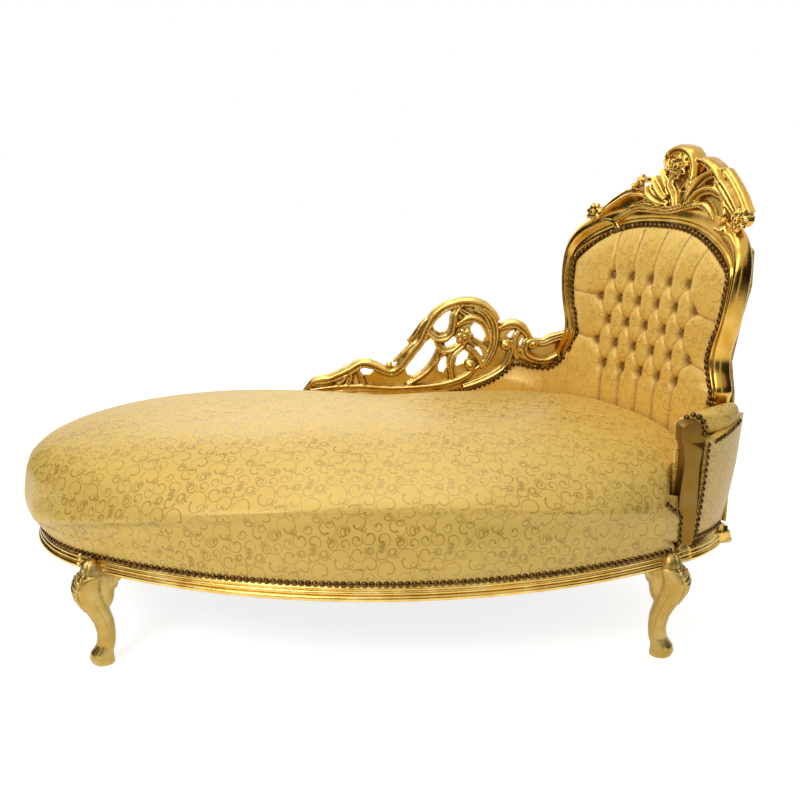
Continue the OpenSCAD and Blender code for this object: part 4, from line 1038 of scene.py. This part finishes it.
def leg(node):
    """A cabriole leg with a leaf on its knee, a ridge down its shin and a scrolled toe."""
    (x, y), turn = LEGS[node]
    piece = merged_copy(node, node + "_gilt")
    t = math.radians(turn)
    out = np.array([math.cos(t), math.sin(t)])
    # the knee rises over the rail in a rounded cap, and swells where it meets the rail
    cap, haunch = np.array([x, y]) + out * 0.018, np.array([x, y]) - out * 0.004
    extra = [lump(plain_place, cap, (0.026, 0.024), t, 0.210, 0.040),
             lump(plain_place, haunch, (0.021, 0.023), t, 0.182, 0.055)]
    piece = joined(node + "_gilt", [piece] + extra)
    finish_with(piece, "REMESH", mode="VOXEL", voxel_size=0.0022, use_smooth_shade=True)
    finish_with(piece, "SMOOTH", factor=0.5, iterations=5)
    co, no = co_of(piece), normals_of(piece)
    dx, dy = co[:, 0] - x - SEAT_CENTRE[0], co[:, 1] - y - SEAT_CENTRE[1]
    fx, fy = dx * math.cos(t) + dy * math.sin(t), -dx * math.sin(t) + dy * math.cos(t)
    z = co[:, 2]
    shift = np.interp(z, [0, 0.028, 0.048, 0.072, 0.098, 0.122, 0.146, 0.168, 0.188, 0.214],
                      [0.008, 0.012, 0.002, 0, 0.003, 0.011, 0.021, 0.029, 0.032, 0.022])
    around = np.arctan2(fy, fx - shift)
    side = np.abs(around)
    # a veined leaf over the front of the knee, within a rim
    reach = np.clip((0.250 - z) / 0.125, 0, 1)
    half = 0.95 * np.sqrt(np.maximum(0, 1 - reach ** 1.5))
    in_leaf = ease((half - side) / 0.10) * ease((z - 0.120) / 0.01)
    veins = 0.5 + 0.5 * np.cos(side * 10 - (0.25 - z) * 560)
    move = 0.0028 * in_leaf * (0.2 + 0.8 * veins) - 0.0020 * np.exp(-(side / 0.10) ** 2) * in_leaf
    move -= 0.0015 * np.exp(-((side - half - 0.05) / 0.07) ** 2) * ease((z - 0.13) / 0.01)
    # cut lines that run down both edges of the shin's broad side
    shin = ease((0.178 - z) / 0.02) * ease((z - 0.060) / 0.02)
    for line in (0.70, 1.72):
        move -= 0.0017 * np.exp(-((side - line) / 0.065) ** 2) * shin
    # the toe: a leaf on its front, a scroll cut at each side
    toe = ease((0.060 - z) / 0.010) * ease((z - 0.006) / 0.006)
    ring = np.hypot((z - 0.034) / 0.013, (side - 1.15) / 0.42)
    move -= 0.0005 * np.exp(-((ring - 1.0) / 0.24) ** 2) * toe
    move += 0.0012 * toe * np.exp(-(side / 0.35) ** 2)
    below = ease((0.262 - z) / 0.006)
    co = co + no * (move * below)[:, None]
    co[:, 2] = np.maximum(co[:, 2], 0.0)
    set_co(piece, co)
    finish_with(piece, "SMOOTH", factor=0.35, iterations=1)
    smooth(piece)
    mark_hollows(piece, 2, 1100)
    return dress(piece, LEG_GOLD_SHADED, [node])


# ---------------------------------------------------------------- carving
LEAF, REED, STEM, GROUND = "leaf", "reed", "stem", "ground"
LOBE = 0.0352

# bands in millimetres: across, up, half width, height; then flowers: middle, radius, petals
FRET_BANDS = [
    (LEAF, [(-227, 455, 3, 4), (-191, 485, 11, 9), (-150, 492, 13, 11), (-99, 513, 15, 12),
        (-60, 534, 14, 12), (-22, 528, 13, 11), (8, 513, 12, 10), (32, 512, 13, 11), (52, 528, 14, 12),
        (78, 562, 15, 12), (106, 597, 14, 12), (122, 633, 14, 12), (140, 664, 15, 13), (168, 690, 15, 13),
        (204, 704, 14, 13), (240, 708, 14, 13), (272, 702, 14, 12), (300, 684, 13, 12),
        (322, 655, 12, 11)]),
    (REED, [(258, 692, 9, 8), (288, 677, 13, 10), (308, 648, 15, 11), (314, 613, 14, 11),
        (310, 582, 13, 10), (299, 552, 12, 10), (283, 526, 10, 8)]),
    (LEAF, [(326, 632, 6, 6), (346, 643, 12, 10), (370, 646, 13, 11), (390, 638, 13, 11),
        (405, 622, 11, 10), (416, 606, 7, 7)]),
    (LEAF, [(424, 604, 7, 8), (407, 597, 10, 10), (401, 575, 11, 11), (409, 556, 12, 11),
        (432, 544, 12, 11), (460, 541, 11, 10), (484, 548, 11, 9), (504, 562, 10, 9), (517, 573, 9, 8)]),
    (REED, [(430, 598, 8, 8), (452, 594, 11, 9), (474, 603, 13, 9), (506, 612, 12, 8), (517, 615, 12, 8)]),
    (STEM, [(386, 628, 6, 6), (373, 612, 8, 8), (370, 590, 8, 9), (374, 566, 8, 8), (382, 545, 6, 6)]),
    (STEM, [(380, 576, 5, 5), (393, 557, 8, 8), (412, 546, 7, 7)]),
    (LEAF, [(364, 600, 6, 6), (362, 566, 9, 9), (345, 527, 10, 9), (312, 501, 10, 9), (270, 481, 10, 8),
        (228, 467, 8, 8)]),
    (LEAF, [(-206, 459, 4, 5), (-140, 466, 8, 7), (-70, 468, 9, 7), (0, 463, 9, 7), (60, 463, 9, 8),
        (114, 466, 10, 9), (158, 471, 10, 9), (201, 481, 10, 9), (236, 497, 9, 8), (257, 516, 6, 6)]),
    (LEAF, [(215, 694, 7, 7), (200, 670, 11, 10), (197, 642, 12, 11), (190, 619, 12, 11),
        (174, 605, 12, 10), (154, 604, 11, 10), (137, 616, 10, 9), (125, 634, 6, 7)]),
    (LEAF, [(206, 640, 6, 6), (236, 660, 12, 10), (263, 661, 13, 11), (284, 647, 12, 10), (296, 622, 10, 9),
        (300, 597, 7, 7)]),
    (STEM, [(214, 690, 6, 6), (237, 673, 8, 8), (266, 666, 7, 7)]),
    (STEM, [(252, 606, 6, 7), (277, 588, 8, 9), (291, 563, 9, 9), (291, 540, 8, 8), (280, 522, 7, 7)]),
    (STEM, [(238, 586, 6, 7), (261, 565, 8, 8), (276, 543, 8, 8), (283, 522, 7, 7)]),
    (LEAF, [(228, 586, 6, 7), (201, 564, 10, 9), (189, 543, 10, 9), (192, 518, 8, 8), (196, 486, 7, 7)]),
    (LEAF, [(222, 594, 6, 6), (196, 574, 10, 9), (172, 571, 11, 9), (158, 583, 10, 9), (148, 600, 6, 6)]),
    (LEAF, [(158, 578, 7, 7), (147, 546, 10, 9), (133, 524, 10, 9), (113, 504, 10, 9), (92, 490, 9, 8),
        (68, 474, 7, 7)]),
    (LEAF, [(71, 596, 5, 5), (92, 616, 9, 8), (108, 640, 9, 9), (124, 662, 6, 7)]),
    (LEAF, [(30, 540, 4, 5), (56, 560, 8, 8), (80, 584, 8, 8), (100, 604, 6, 7)]),
    (LEAF, [(-96, 512, 5, 6), (-112, 490, 8, 8), (-132, 474, 6, 6)]),
    (LEAF, [(-88, 512, 5, 6), (-94, 486, 8, 8), (-106, 468, 6, 6)]),
    (LEAF, [(-74, 518, 5, 6), (-60, 494, 8, 8), (-52, 466, 6, 6)])]
CREST_BANDS = [
    (LEAF, [(-12, 378, 6, 8), (-22, 398, 9, 12), (-20, 420, 10, 14), (-2, 430, 11, 15), (24, 428, 12, 15),
        (52, 412, 13, 15), (68, 385, 13, 14), (72, 352, 12, 13), (68, 320, 10, 11), (60, 296, 7, 9)]),
    (LEAF, [(10, 300, 8, 9), (-28, 308, 12, 12), (-56, 324, 13, 12), (-66, 344, 10, 10)]),
    (LEAF, [(-2, 312, 7, 9), (-24, 330, 11, 12), (-44, 350, 10, 11), (-56, 366, 6, 8)]),
    (LEAF, [(8, 322, 7, 9), (-6, 348, 10, 12), (-22, 366, 8, 10), (-36, 382, 5, 7)]),
    (LEAF, [(34, 296, 8, 9), (26, 322, 10, 12), (6, 348, 10, 13), (12, 370, 7, 10)]),
    (LEAF, [(-30, 305, 7, 8), (-74, 324, 12, 12), (-118, 324, 14, 13), (-156, 305, 14, 12),
        (-188, 282, 11, 11), (-208, 262, 7, 9)]),
    (REED, [(-112, 268, 7, 8), (-96, 290, 11, 10), (-62, 300, 12, 10), (-28, 294, 9, 9)]),
    (REED, [(-160, 252, 7, 8), (-138, 262, 11, 11), (-108, 279, 12, 11), (-76, 289, 12, 11),
        (-26, 288, 12, 11), (22, 286, 12, 11), (70, 296, 12, 11), (112, 303, 10, 9)]),
    (STEM, [(-236, 222, 4, 6), (-221, 236, 5, 7), (-204, 248, 6, 8), (-179, 256, 7, 9), (-155, 252, 7, 9),
        (-138, 240, 7, 9), (-132, 227, 6, 9), (-139, 217, 6, 8), (-152, 218, 5, 8), (-158, 230, 4, 8)]),
    (LEAF, [(58, 300, 8, 10), (82, 336, 13, 14), (108, 362, 14, 15), (136, 374, 12, 12), (158, 378, 6, 8)]),
    (LEAF, [(70, 296, 8, 10), (102, 326, 12, 13), (140, 336, 13, 14), (174, 326, 11, 12),
        (196, 308, 7, 8)]),
    (LEAF, [(100, 300, 7, 9), (130, 300, 11, 12), (156, 286, 10, 11), (174, 266, 7, 8)]),
    (LEAF, [(66, 402, 7, 8), (92, 400, 11, 12), (124, 386, 12, 13), (150, 366, 12, 12), (170, 344, 8, 9)]),
    (REED, [(148, 358, 8, 9), (172, 341, 14, 13), (204, 317, 15, 14), (232, 294, 13, 12),
        (250, 278, 9, 9)]),
    (LEAF, [(176, 332, 7, 8), (198, 306, 11, 12), (208, 280, 11, 12), (198, 258, 8, 9)]),
    (LEAF, [(180, 250, 6, 7), (216, 242, 9, 10), (248, 234, 9, 10), (272, 212, 7, 8)]),
    (GROUND, [(-232, 248, 16, 4), (-160, 276, 26, 4), (-70, 300, 26, 4), (20, 300, 22, 4)]),
    (GROUND, [(20, 306, 24, 4), (100, 312, 26, 4), (180, 290, 44, 4), (250, 258, 36, 4)]),
    (GROUND, [(8, 318, 12, 4), (28, 372, 26, 4), (28, 400, 20, 4)]),
    (GROUND, [(96, 330, 18, 4), (134, 348, 28, 4), (178, 326, 22, 4)])]
FRET_FLOWERS = [((231, 611), 25, 7), ((349, 587), 17, 0), ((424, 590), 17, 0), ((248, 529), 16, 0),
    ((18, 531), 10, 0)]
CREST_FLOWERS = [((19, 390), 32, 8), ((-220, 276), 25, 7), ((262, 271), 28, 7), ((217, 248), 12, 0),
    ((-88, 358), 15, 5), ((-104, 344), 12, 5)]
# the plain ground of the side: its outline, its lower edge on the board, and the openings sawn through it
FRET_GROUND = [(-218, 458), (-191, 480), (-150, 488), (-99, 508), (-60, 529), (-22, 524), (8, 508), (32, 508),
    (52, 526), (78, 560), (106, 595), (122, 631), (140, 660), (168, 685), (204, 699), (240, 703), (272, 697),
    (300, 680), (322, 652), (346, 643), (370, 644), (390, 637), (405, 622), (424, 603), (452, 595),
    (474, 603), (506, 612), (512, 614), (512, 556)]
BOARD_EDGE = [(-232, 350), (-226, 440), (-190, 452), (-100, 456), (0, 458), (110, 456), (228, 459),
    (267, 472), (310, 492), (342, 514), (369, 538), (392, 536), (417, 529), (460, 522), (490, 532),
    (519, 544)]
NAIL_LINE = [(-218, 390), (100, 396), (165, 425), (192, 449), (228, 455), (267, 467), (310, 485), (342, 507),
    (369, 532), (392, 532), (417, 525), (460, 518), (488, 527), (516, 538)]
FRET_HOLES = [
    [(-72, 513), (-55, 524), (-37, 525), (-19, 518), (-37, 505), (-56, 501), (-71, 504)],
    [(65, 518), (89, 548), (113, 583), (131, 602), (144, 605), (153, 592), (148, 570), (133, 541), (108, 512),
    (86, 498), (70, 502)],
    [(142, 646), (151, 666), (172, 682), (195, 682), (191, 661), (189, 642), (179, 628), (160, 623),
    (145, 632)],
    [(212, 659), (226, 670), (237, 660), (235, 648), (217, 642)],
    [(258, 650), (278, 648), (290, 634), (291, 614), (283, 597), (267, 597), (253, 614), (247, 633)],
    [(175, 593), (189, 607), (205, 610), (208, 593), (196, 579), (178, 580)],
    [(157, 527), (166, 547), (179, 555), (180, 521), (171, 508), (158, 512)],
    [(206, 526), (211, 554), (230, 572), (243, 561), (239, 547), (224, 533)],
    [(258, 582), (270, 580), (284, 563), (284, 548), (272, 555)],
    [(351, 613), (362, 625), (378, 628), (369, 608), (355, 606)],
    [(386, 592), (392, 604), (399, 606), (396, 581), (389, 575)]]


def carved_band(points, form, place, back):
    """One carved band as a closed tube: place turns (across, up, out) into the shared frame."""
    path = evenly(spline(np.asarray(points, float) * MM, 12), 0.0024)
    run = run_along(path[:, :2])
    d = np.gradient(path[:, :2], axis=0)
    d /= np.linalg.norm(d, axis=1)[:, None]
    q = np.linspace(-1, 1, 23)
    rings = []
    for (x, y, w, h), s, (dx, dy) in zip(path, run, d):
        edge = 1.0
        if form == LEAF:
            # a round roll along one side, a flute beside it and a thin lip
            roll = 0.34 * np.exp(-((q - 0.30) / 0.34) ** 2)
            flute = 0.40 * np.exp(-((q + 0.34) / 0.20) ** 2)
            high = h * (1 - np.abs(q) ** 3) ** 0.6 * (0.86 + roll - flute)
            edge = 1 + 0.035 * math.cos(2 * math.pi * s / LOBE)
        elif form == REED:
            high = h * (1 - np.abs(q) ** 5) ** 0.6 * (0.78 + 0.26 * np.cos(q * 3 * math.pi))
        elif form == STEM:
            high = h * (1 - np.abs(q) ** 3) ** 0.6 * (0.9 - 0.22 * np.exp(-((q - 0.1) / 0.22) ** 2))
        else:
            high = np.full(len(q), -0.001)
        across = np.array([x, y]) + np.array([-dy, dx]) * (q * w * edge)[:, None]
        low = across[[-1, 0]]
        rings.append(np.vstack([place(across[:, 0], across[:, 1], high), place(low[:, 0], low[:, 1], -back)]))
    return closed_tube("band", rings)


def lump(place, at, size, turn, lift, tall, groove=0.0):
    """A rounded lump such as a petal: long and wide in the carving's plane, and tall out of it."""
    rows, cols = 9, 16
    c, s = math.cos(turn), math.sin(turn)
    f, g = [q.ravel() for q in np.meshgrid(np.arange(rows + 1) * math.pi / rows,
                                           np.arange(cols) * 2 * math.pi / cols, indexing="ij")]
    x, y, z = np.sin(f) * np.cos(g), np.sin(f) * np.sin(g), np.cos(f)
    z = z - groove * np.exp(-(y / 0.22) ** 2) * np.maximum(z, 0)
    x, y = x * size[0], y * size[1]
    verts = place(at[0] + x * c - y * s, at[1] + x * s + y * c, lift + z * tall)
    faces = [(i * cols + j, i * cols + (j + 1) % cols, (i + 1) * cols + (j + 1) % cols, (i + 1) * cols + j)
             for i in range(rows) for j in range(cols)]
    return edited(from_mesh("lump", verts, faces), (bpy.ops.mesh.remove_doubles, {"threshold": 0.00001}),
                  (bpy.ops.mesh.normals_make_consistent, {"inside": False}))


def carved_flower(at, r, petals, place, back, high):
    """A blossom of grooved petals round a seeded boss, or, without petals, a volute."""
    at, r = np.array(at) * MM, r * MM

    def spoke(turn, share):
        return at + r * share * np.array([math.cos(turn), math.sin(turn)])

    plate = np.array([spoke(g, 0.55) for g in np.linspace(0, 2 * math.pi, 12)])
    made = [closed_tube("boss", [place(plate[:, 0], plate[:, 1], n) for n in (-back, high * 0.4)])]
    for k in range(petals):
        g = 2 * math.pi * k / petals + 0.2
        made.append(lump(place, spoke(g, 0.60), (r * 0.44, r * 0.27), g, high * 0.42, high * 0.62, 0.45))
    if petals:
        made.append(lump(place, at, (r * 0.27, r * 0.27), 0, high * 0.75, high * 0.5))
        for k in range(6):
            made.append(lump(place, spoke(2 * math.pi * k / 6, 0.20), (r * 0.10, r * 0.10), 0,
                             high * 1.12, high * 0.14))
    else:
        # a wound ridge that rises to an eye
        wound = []
        for f in np.linspace(0, 1, 26):
            x, y = spoke(1.6 * 2 * math.pi * f, 0.86 - 0.42 * f) / MM
            wound.append([x, y, r / MM * 0.20, high / MM * (0.7 + 0.35 * f)])
        made += [carved_band(wound, STEM, place, back),
                 lump(place, at, (r * 0.34, r * 0.34), 0, high * 0.75, high * 0.5)]
    return made


def carved(name, node, bands, flowers, place, back, high, extra, voxel, gold):
    """All bands and flowers of a carving, made one skin."""
    pieces = [carved_band(points, form, place, back) for form, points in bands]
    for at, r, petals in flowers:
        pieces += carved_flower(at, r, petals, place, back - 0.001, high)
    piece = joined(name, pieces + list(extra))
    finish_with(piece, "REMESH", mode="VOXEL", voxel_size=voxel, use_smooth_shade=True)
    finish_with(piece, "SMOOTH", factor=0.4, iterations=2)
    smooth(piece)
    mark_hollows(piece, 3, 2200)
    return dress(piece, gold, [node])


def crest_place(a, b, n):
    """A point of the crest: across and up the back, and out from its face."""
    return barrel(a, b, n + 0.008)


def side_place(a, b, n):
    """A point of the pierced side: along it, up it, and out toward the seat."""
    a, b, n = np.broadcast_arrays(a, b, n)
    return np.stack([a + SEAT_CENTRE[0], SIDE_FACE - n + SEAT_CENTRE[1], b], -1)


def crest():
    """The carving over the back; reeds run down the outer side of its right arm, one behind the other."""
    extra = []
    for shift, drop in ((7, 0.004), (11, 0.0115), (12, 0.019)):
        rows = [(x + 0.65 * shift, y + 0.75 * shift, 4.5, 5) for x, y in
                ((150, 372), (172, 357), (198, 337), (222, 317), (244, 296), (262, 278))]
        extra.append(carved_band(rows, STEM, lambda a, b, n, d=drop: crest_place(a, b, n - d), 0.004))
    return carved("crest_carving_gilt", "crest_carving", CREST_BANDS, CREST_FLOWERS, crest_place,
                  0.024, 0.015, extra, 0.0022, FRAME_GOLD_SHADED)


def board(name, points, low, high):
    """A flat piece of this outline in the side's plane, between two depths."""
    p = np.array(points) * MM
    return closed_tube(name, [side_place(p[:, 0], p[:, 1], n) for n in (high, low)])


def sawn_ground():
    """The ground between the scrolls, with its openings sawn out and their edges eased."""
    plate = board("ground", FRET_GROUND + BOARD_EDGE[:0:-1], -0.0115, -0.0035)
    cutter = joined("openings", [board("opening", h, -0.03, 0.02) for h in FRET_HOLES])
    finish_with(plate, "BOOLEAN", operation="DIFFERENCE", object=cutter, solver="EXACT")
    bpy.data.objects.remove(cutter)
    return plate


def fretwork():
    """The pierced carving along the rear side, on its sawn ground and over its bead."""
    bead = [(-214, 446, 2, 3), (-150, 453, 2.8, 5), (-93, 455, 3, 6), (0, 457, 3, 6), (110, 458, 3, 6),
            (160, 466, 3, 6), (191, 480, 3.2, 6), (225, 497, 3.2, 6), (265, 520, 3.2, 6), (300, 556, 3, 6),
            (318, 600, 2.6, 5)]
    extra = [sawn_ground(), carved_band(bead, STEM, side_place, 0.004)]
    return carved("fretwork_gilt", "fretwork_carving", FRET_BANDS, FRET_FLOWERS, side_place,
                  0.016, 0.012, extra, 0.0020, GOLD)


def hung_cloth(name, points, ease_off, material, cloth):
    """A sheet of cloth through a grid of points, its two faces closed at the edges."""
    cols, rows = points.shape[:2]
    drop_selection()
    bpy.ops.mesh.primitive_grid_add(x_subdivisions=cols - 1, y_subdivisions=rows - 1, size=1)
    piece = bpy.context.active_object
    piece.name = name
    co = co_of(piece)
    i, j = [np.clip(np.round((co[:, k] + 0.5) * (m - 1)).astype(int), 0, m - 1) for k, m in ((0, cols), (1, rows))]
    set_co(piece, points[i, j] + (*SEAT_CENTRE, 0))
    if ease_off:
        finish_with(piece, "SMOOTH", factor=0.5, iterations=ease_off)
    finish_with(piece, "SOLIDIFY", thickness=0.003, offset=-1)
    finish_with(piece, "SUBSURF", levels=1, render_levels=1)
    face_out(piece)
    smooth(piece, 50)
    lay_cloth(piece, cloth)
    return dress(piece, material)


def side_wing():
    """The side's cloth, drawn forward over the foot of the back's frame to its seam with the back."""
    knots = np.array([(448, 316.2, 518), (472, 314.0, 522), (490, 306.0, 536), (503, 293.5, 556), (512, 285.0, 575),
                      (520, 288.0, 585)]) * MM
    plan = spline(knots[:, :2], 6)
    top = np.interp(plan[:, 0], knots[:, 0], knots[:, 2])
    rows, foot = 24, 0.262
    z = foot + (top[:, None] - foot) * np.linspace(0, 1, rows)
    points = np.dstack([np.repeat(plan[:, :1], rows, 1), np.repeat(plan[:, 1:], rows, 1), z])
    run = knots[0, 0] + run_along(plan)
    return hung_cloth("side_wing_cloth", points, 0, DAMASK_PAINTED_LIGHT, lambda co: np.column_stack([
        np.interp(co[:, 0] - SEAT_CENTRE[0], plan[:, 0], run), co[:, 2]]))


def back_nails():
    """Nails round the stuffed back, along the inner edge of the show frame."""
    left = [(-263, -114), (-251, -90), (-238, -66), (-232, -45), (-236, -20), (-242, 2), (-256, 38), (-263, 80),
            (-264, 120), (-263, 148), (-252, 164), (-234, 178), (-206, 197), (-158, 222), (-105, 240),
            (-52, 247), (0, 248)]
    right = [(-u, v) for u, v in left[-2::-1]] + [(265, -126)]
    path = evenly(spline(np.array(left + right) * MM, 8), NAIL_PITCH)
    at = barrel(path[:, 0], path[:, 1], 0.0115)
    out = barrel(path[:, 0] * 0.985, path[:, 1], 0.05) - at
    foot = np.array([(276, -133), (289, -133), (301, -131)]) * MM
    at = np.vstack([at, barrel(foot[:, 0], foot[:, 1], 0.022)])
    out = np.vstack([out, barrel(foot[:, 0], foot[:, 1], 0.06) - barrel(foot[:, 0], foot[:, 1], 0.022)])
    return nail_row("back_nails", at, out)


def side_nails():
    """Nails along the top of the side's inner cloth."""
    line = [(x, z, 317.2) for x, z in NAIL_LINE[:11]] + [(462, 521, 315.0), (480, 528, 309.0), (494, 541, 302.0),
                                                        (505, 556, 293.0)]
    path = evenly(spline(np.array(line) * MM, 8), NAIL_PITCH)
    at = np.column_stack([path[:, 0] + SEAT_CENTRE[0], path[:, 2] + SEAT_CENTRE[1], path[:, 1]])
    out = np.tile([0.0, -1.0, 0.1], (len(at), 1))
    out[path[:, 0] > 0.47] = (-0.5, -0.85, 0.1)
    return nail_row("side_nails", at, out)


def seat_corner(seat):
    """The cover drawn across the gap between the cushion and the arm post, and nailed up the post."""
    first, last, foot = 0.570, 0.6455, 0.2590
    xs = np.linspace(first, last, 16)
    top = np.interp(xs, [first, 0.610, last], [0.385, 0.380, 0.365])
    z = foot + (top[:, None] - foot) * np.linspace(0, 1, 18)
    y = np.full(z.shape, np.nan)
    for i, j in np.ndindex(*z.shape):
        hit = onto(seat, (xs[i] + SEAT_CENTRE[0], -2.0, z[i, j]), (0, 1, 0))
        if hit and xs[i] < 0.608 and hit[0][1] - SEAT_CENTRE[1] < -0.20:
            y[i, j] = hit[0][1] - SEAT_CENTRE[1] - 0.0008
    for j in range(z.shape[1]):
        known = np.nonzero(~np.isnan(y[:, j]))[0]
        far = POST_FACE + 0.014 * float(ease((z[-1, j] - 0.322) / 0.02)) + 0.30 * max(0.0, z[-1, j] - 0.345)
        y[:, j] = np.interp(xs, np.append(xs[known], xs[-1]), np.append(y[known, j], far))
    points = np.dstack([np.broadcast_to(xs[:, None], z.shape), y, z])
    return hung_cloth("seat_corner_cloth", points, 3, SEAT_DAMASK, seat_cloth)


def arm_nails(corner, post, pad, outside):
    """Nails up the arm post, over the front of the pad and round the outside cloth."""
    made = []
    base = evenly(spline(np.array([(645, 262), (643, 288), (643, 311), (642, 328), (632, 335), (617, 348),
                                   (603, 361)]) * MM, 6), NAIL_PITCH)
    for x, z in base:
        start = (x + SEAT_CENTRE[0], -2.0, z)
        hits = [h for h in (onto(p, start, (0, 1, 0)) for p in (corner, post)) if h]
        if hits:
            made.append(min(hits, key=lambda h: h[0][1]))
        else:
            made.append((np.array([x + SEAT_CENTRE[0], POST_FACE + SEAT_CENTRE[1], z]), np.array([0.0, -1.0, 0.0])))
    # over the front of the pad, past the post's cap: sighted along lines from the camera
    arc = evenly(spline(np.array([(655, 536), (668, 541), (681, 537), (692, 526), (698, 512), (699, 498)]) * MM, 6),
                 NAIL_PITCH)
    eye = Vector(CAMERA_AT)
    for x, z in arc:
        way = (Vector((x + SEAT_CENTRE[0], -0.268 + SEAT_CENTRE[1], z)) - eye).normalized()
        hits = [h for h in (onto(p, eye, way) for p in (post, pad, outside)) if h]
        if hits:
            made.append(min(hits, key=lambda h: float((h[0] - np.array(eye)) @ np.array(way))))
    # round the outside cloth: up its front edge, then along its foot and its top
    middle = HEAD + SEAT_CENTRE
    around = []
    for z in np.linspace(0.264, 0.486, 16):
        big = np.interp(z, [0.256, 0.320, 0.400, 0.494], [0.338, 0.347, 0.356, 0.362])
        around.append((-math.acos(0.186 / big), z))
    for k in range(1, 10):
        turn = math.radians(-57 + 2.2 * k)
        around += [(turn, 0.2635), (turn, 0.488 + 0.0028 * k)]
    for turn, z in around:
        way = np.array([math.cos(turn), math.sin(turn)])
        start = (*(middle + way * 0.6), z)
        hits = [h for h in (onto(p, start, (*-way, 0)) for p in (outside, pad)) if h]
        if hits:
            made.append(max(hits, key=lambda h: float((h[0][:2] - middle) @ way)))
    return nail_row("arm_nails", *zip(*made))


# ---------------------------------------------------------------- arm, panels and inner timber
def arm_post():
    piece = merged_copy("arm_post", "arm_post_gilt")
    edited(piece, (bpy.ops.mesh.dissolve_limited, {"angle_limit": math.radians(2)}))
    finish_with(piece, "BEVEL", width=0.004, segments=3, limit_method="ANGLE", angle_limit=math.radians(50),
                use_clamp_overlap=True)
    smooth(piece, 40)
    set_hollow(piece, 0.5)
    return dress(piece, POST_GOLD_SHADED, ["arm_post"])


def ring_cloth(co):
    """Cloth laid round the seat's head end: along the curve and up."""
    p = co[:, :2] - SEAT_CENTRE - HEAD
    return np.column_stack([np.arctan2(p[:, 1], p[:, 0]) * END_R, co[:, 2]])


def pad_cloth(co):
    """Cloth over the arm: along it, and over its round top."""
    top_z, top_r = 0.520, 0.034
    p = co[:, :2] - SEAT_CENTRE - HEAD
    a = np.arctan2(p[:, 1], p[:, 0])
    q = np.hypot(p[:, 0], p[:, 1])
    mid = np.interp(-np.degrees(a), [34, 45, 62], [0.342, 0.334, 0.322])
    over = np.arctan2(co[:, 2] - top_z, q - mid)
    return np.column_stack([a * END_R, -over * top_r])


def side_cloth(co):
    """Cloth on the straight side: along it and up."""
    return np.column_stack([co[:, 0], co[:, 2]])


def arm_pad():
    piece = merged_copy("arm_pad", "arm_pad_cloth")
    finish_with(piece, "REMESH", mode="VOXEL", voxel_size=0.005, use_smooth_shade=True)
    finish_with(piece, "SMOOTH", factor=0.5, iterations=8)
    co = co_of(piece)
    swell(piece, 0.004, ease((co[:, 2] - 0.496) / 0.012), frames=12)
    finish_with(piece, "SUBSURF", levels=1, render_levels=1)
    smooth(piece)
    lay_cloth(piece, pad_cloth)
    dress(piece, SEAT_DAMASK, ["arm_pad"])
    return piece


def panel(node, place, material):
    piece = merged_copy(node, node + "_cloth")
    smooth(piece, 40)
    lay_cloth(piece, place)
    return dress(piece, material, [node])


def arm_outside():
    """The arm's outside cloth, its top edge drawn up to the pad as that rises toward the back."""
    piece = merged_copy("arm_outside_panel", "arm_outside_cloth")
    finish_with(piece, "SUBSURF", levels=2, render_levels=2, subdivision_type="SIMPLE")
    co = co_of(piece)
    p = co[:, :2] - SEAT_CENTRE - HEAD
    turn, far = np.degrees(np.arctan2(p[:, 1], p[:, 0])), np.hypot(p[:, 0], p[:, 1])
    turn += 7.0 * ease((turn + 47) / 9)
    co[:, 2] += 0.028 * np.clip((turn + 57) / 22, 0, 1) * ease((co[:, 2] - 0.40) / 0.09)
    co[:, 0] = SEAT_CENTRE[0] + HEAD[0] + far * np.cos(np.radians(turn))
    co[:, 1] = SEAT_CENTRE[1] + HEAD[1] + far * np.sin(np.radians(turn))
    set_co(piece, co)
    smooth(piece, 40)
    lay_cloth(piece, ring_cloth)
    return dress(piece, SEAT_DAMASK, ["arm_outside_panel"])


def paint_node(node, material):
    """A hidden or plain solid keeps its own mesh and only takes its finish."""
    o = nodes[node]
    o.data.materials.clear()
    o.data.materials.append(material)


seat = seat_cushion()
seat_edge(seat)
seat_nails()
tufted_back()
tuft_buttons()
show_frame()
crest()
fretwork()
for rail in ("front_seat_rail", "foot_end_rail", "back_seat_rail", "arm_side_rail", "back_end_rail",
             "side_board"):
    gilt_copy(rail)
for name in LEGS:
    leg(name)
post = arm_post()
pad = arm_pad()
panel("arm_inside_panel", ring_cloth, SEAT_DAMASK)
outside = arm_outside()
panel("side_inner_panel", side_cloth, DAMASK_PAINTED_LIGHT)
panel("side_outside_panel", side_cloth, SEAT_DAMASK)
panel("outside_back_panel", barrel_uv, SEAT_DAMASK)
side_wing()
back_nails()
side_nails()
corner = seat_corner(seat)
arm_nails(corner, post, pad, outside)
for name in ("corner_blocks", "seat_cross_rails", "back_posts", "back_cross_rails", "arm_rail"):
    paint_node(name, BEECH)
for name in ("seat_webbing", "back_inner_panel"):
    paint_node(name, JUTE)
paint_node("dust_cover", LINING)

bpy.data.objects.remove(HEAD_SHAPE)
drop_selection()
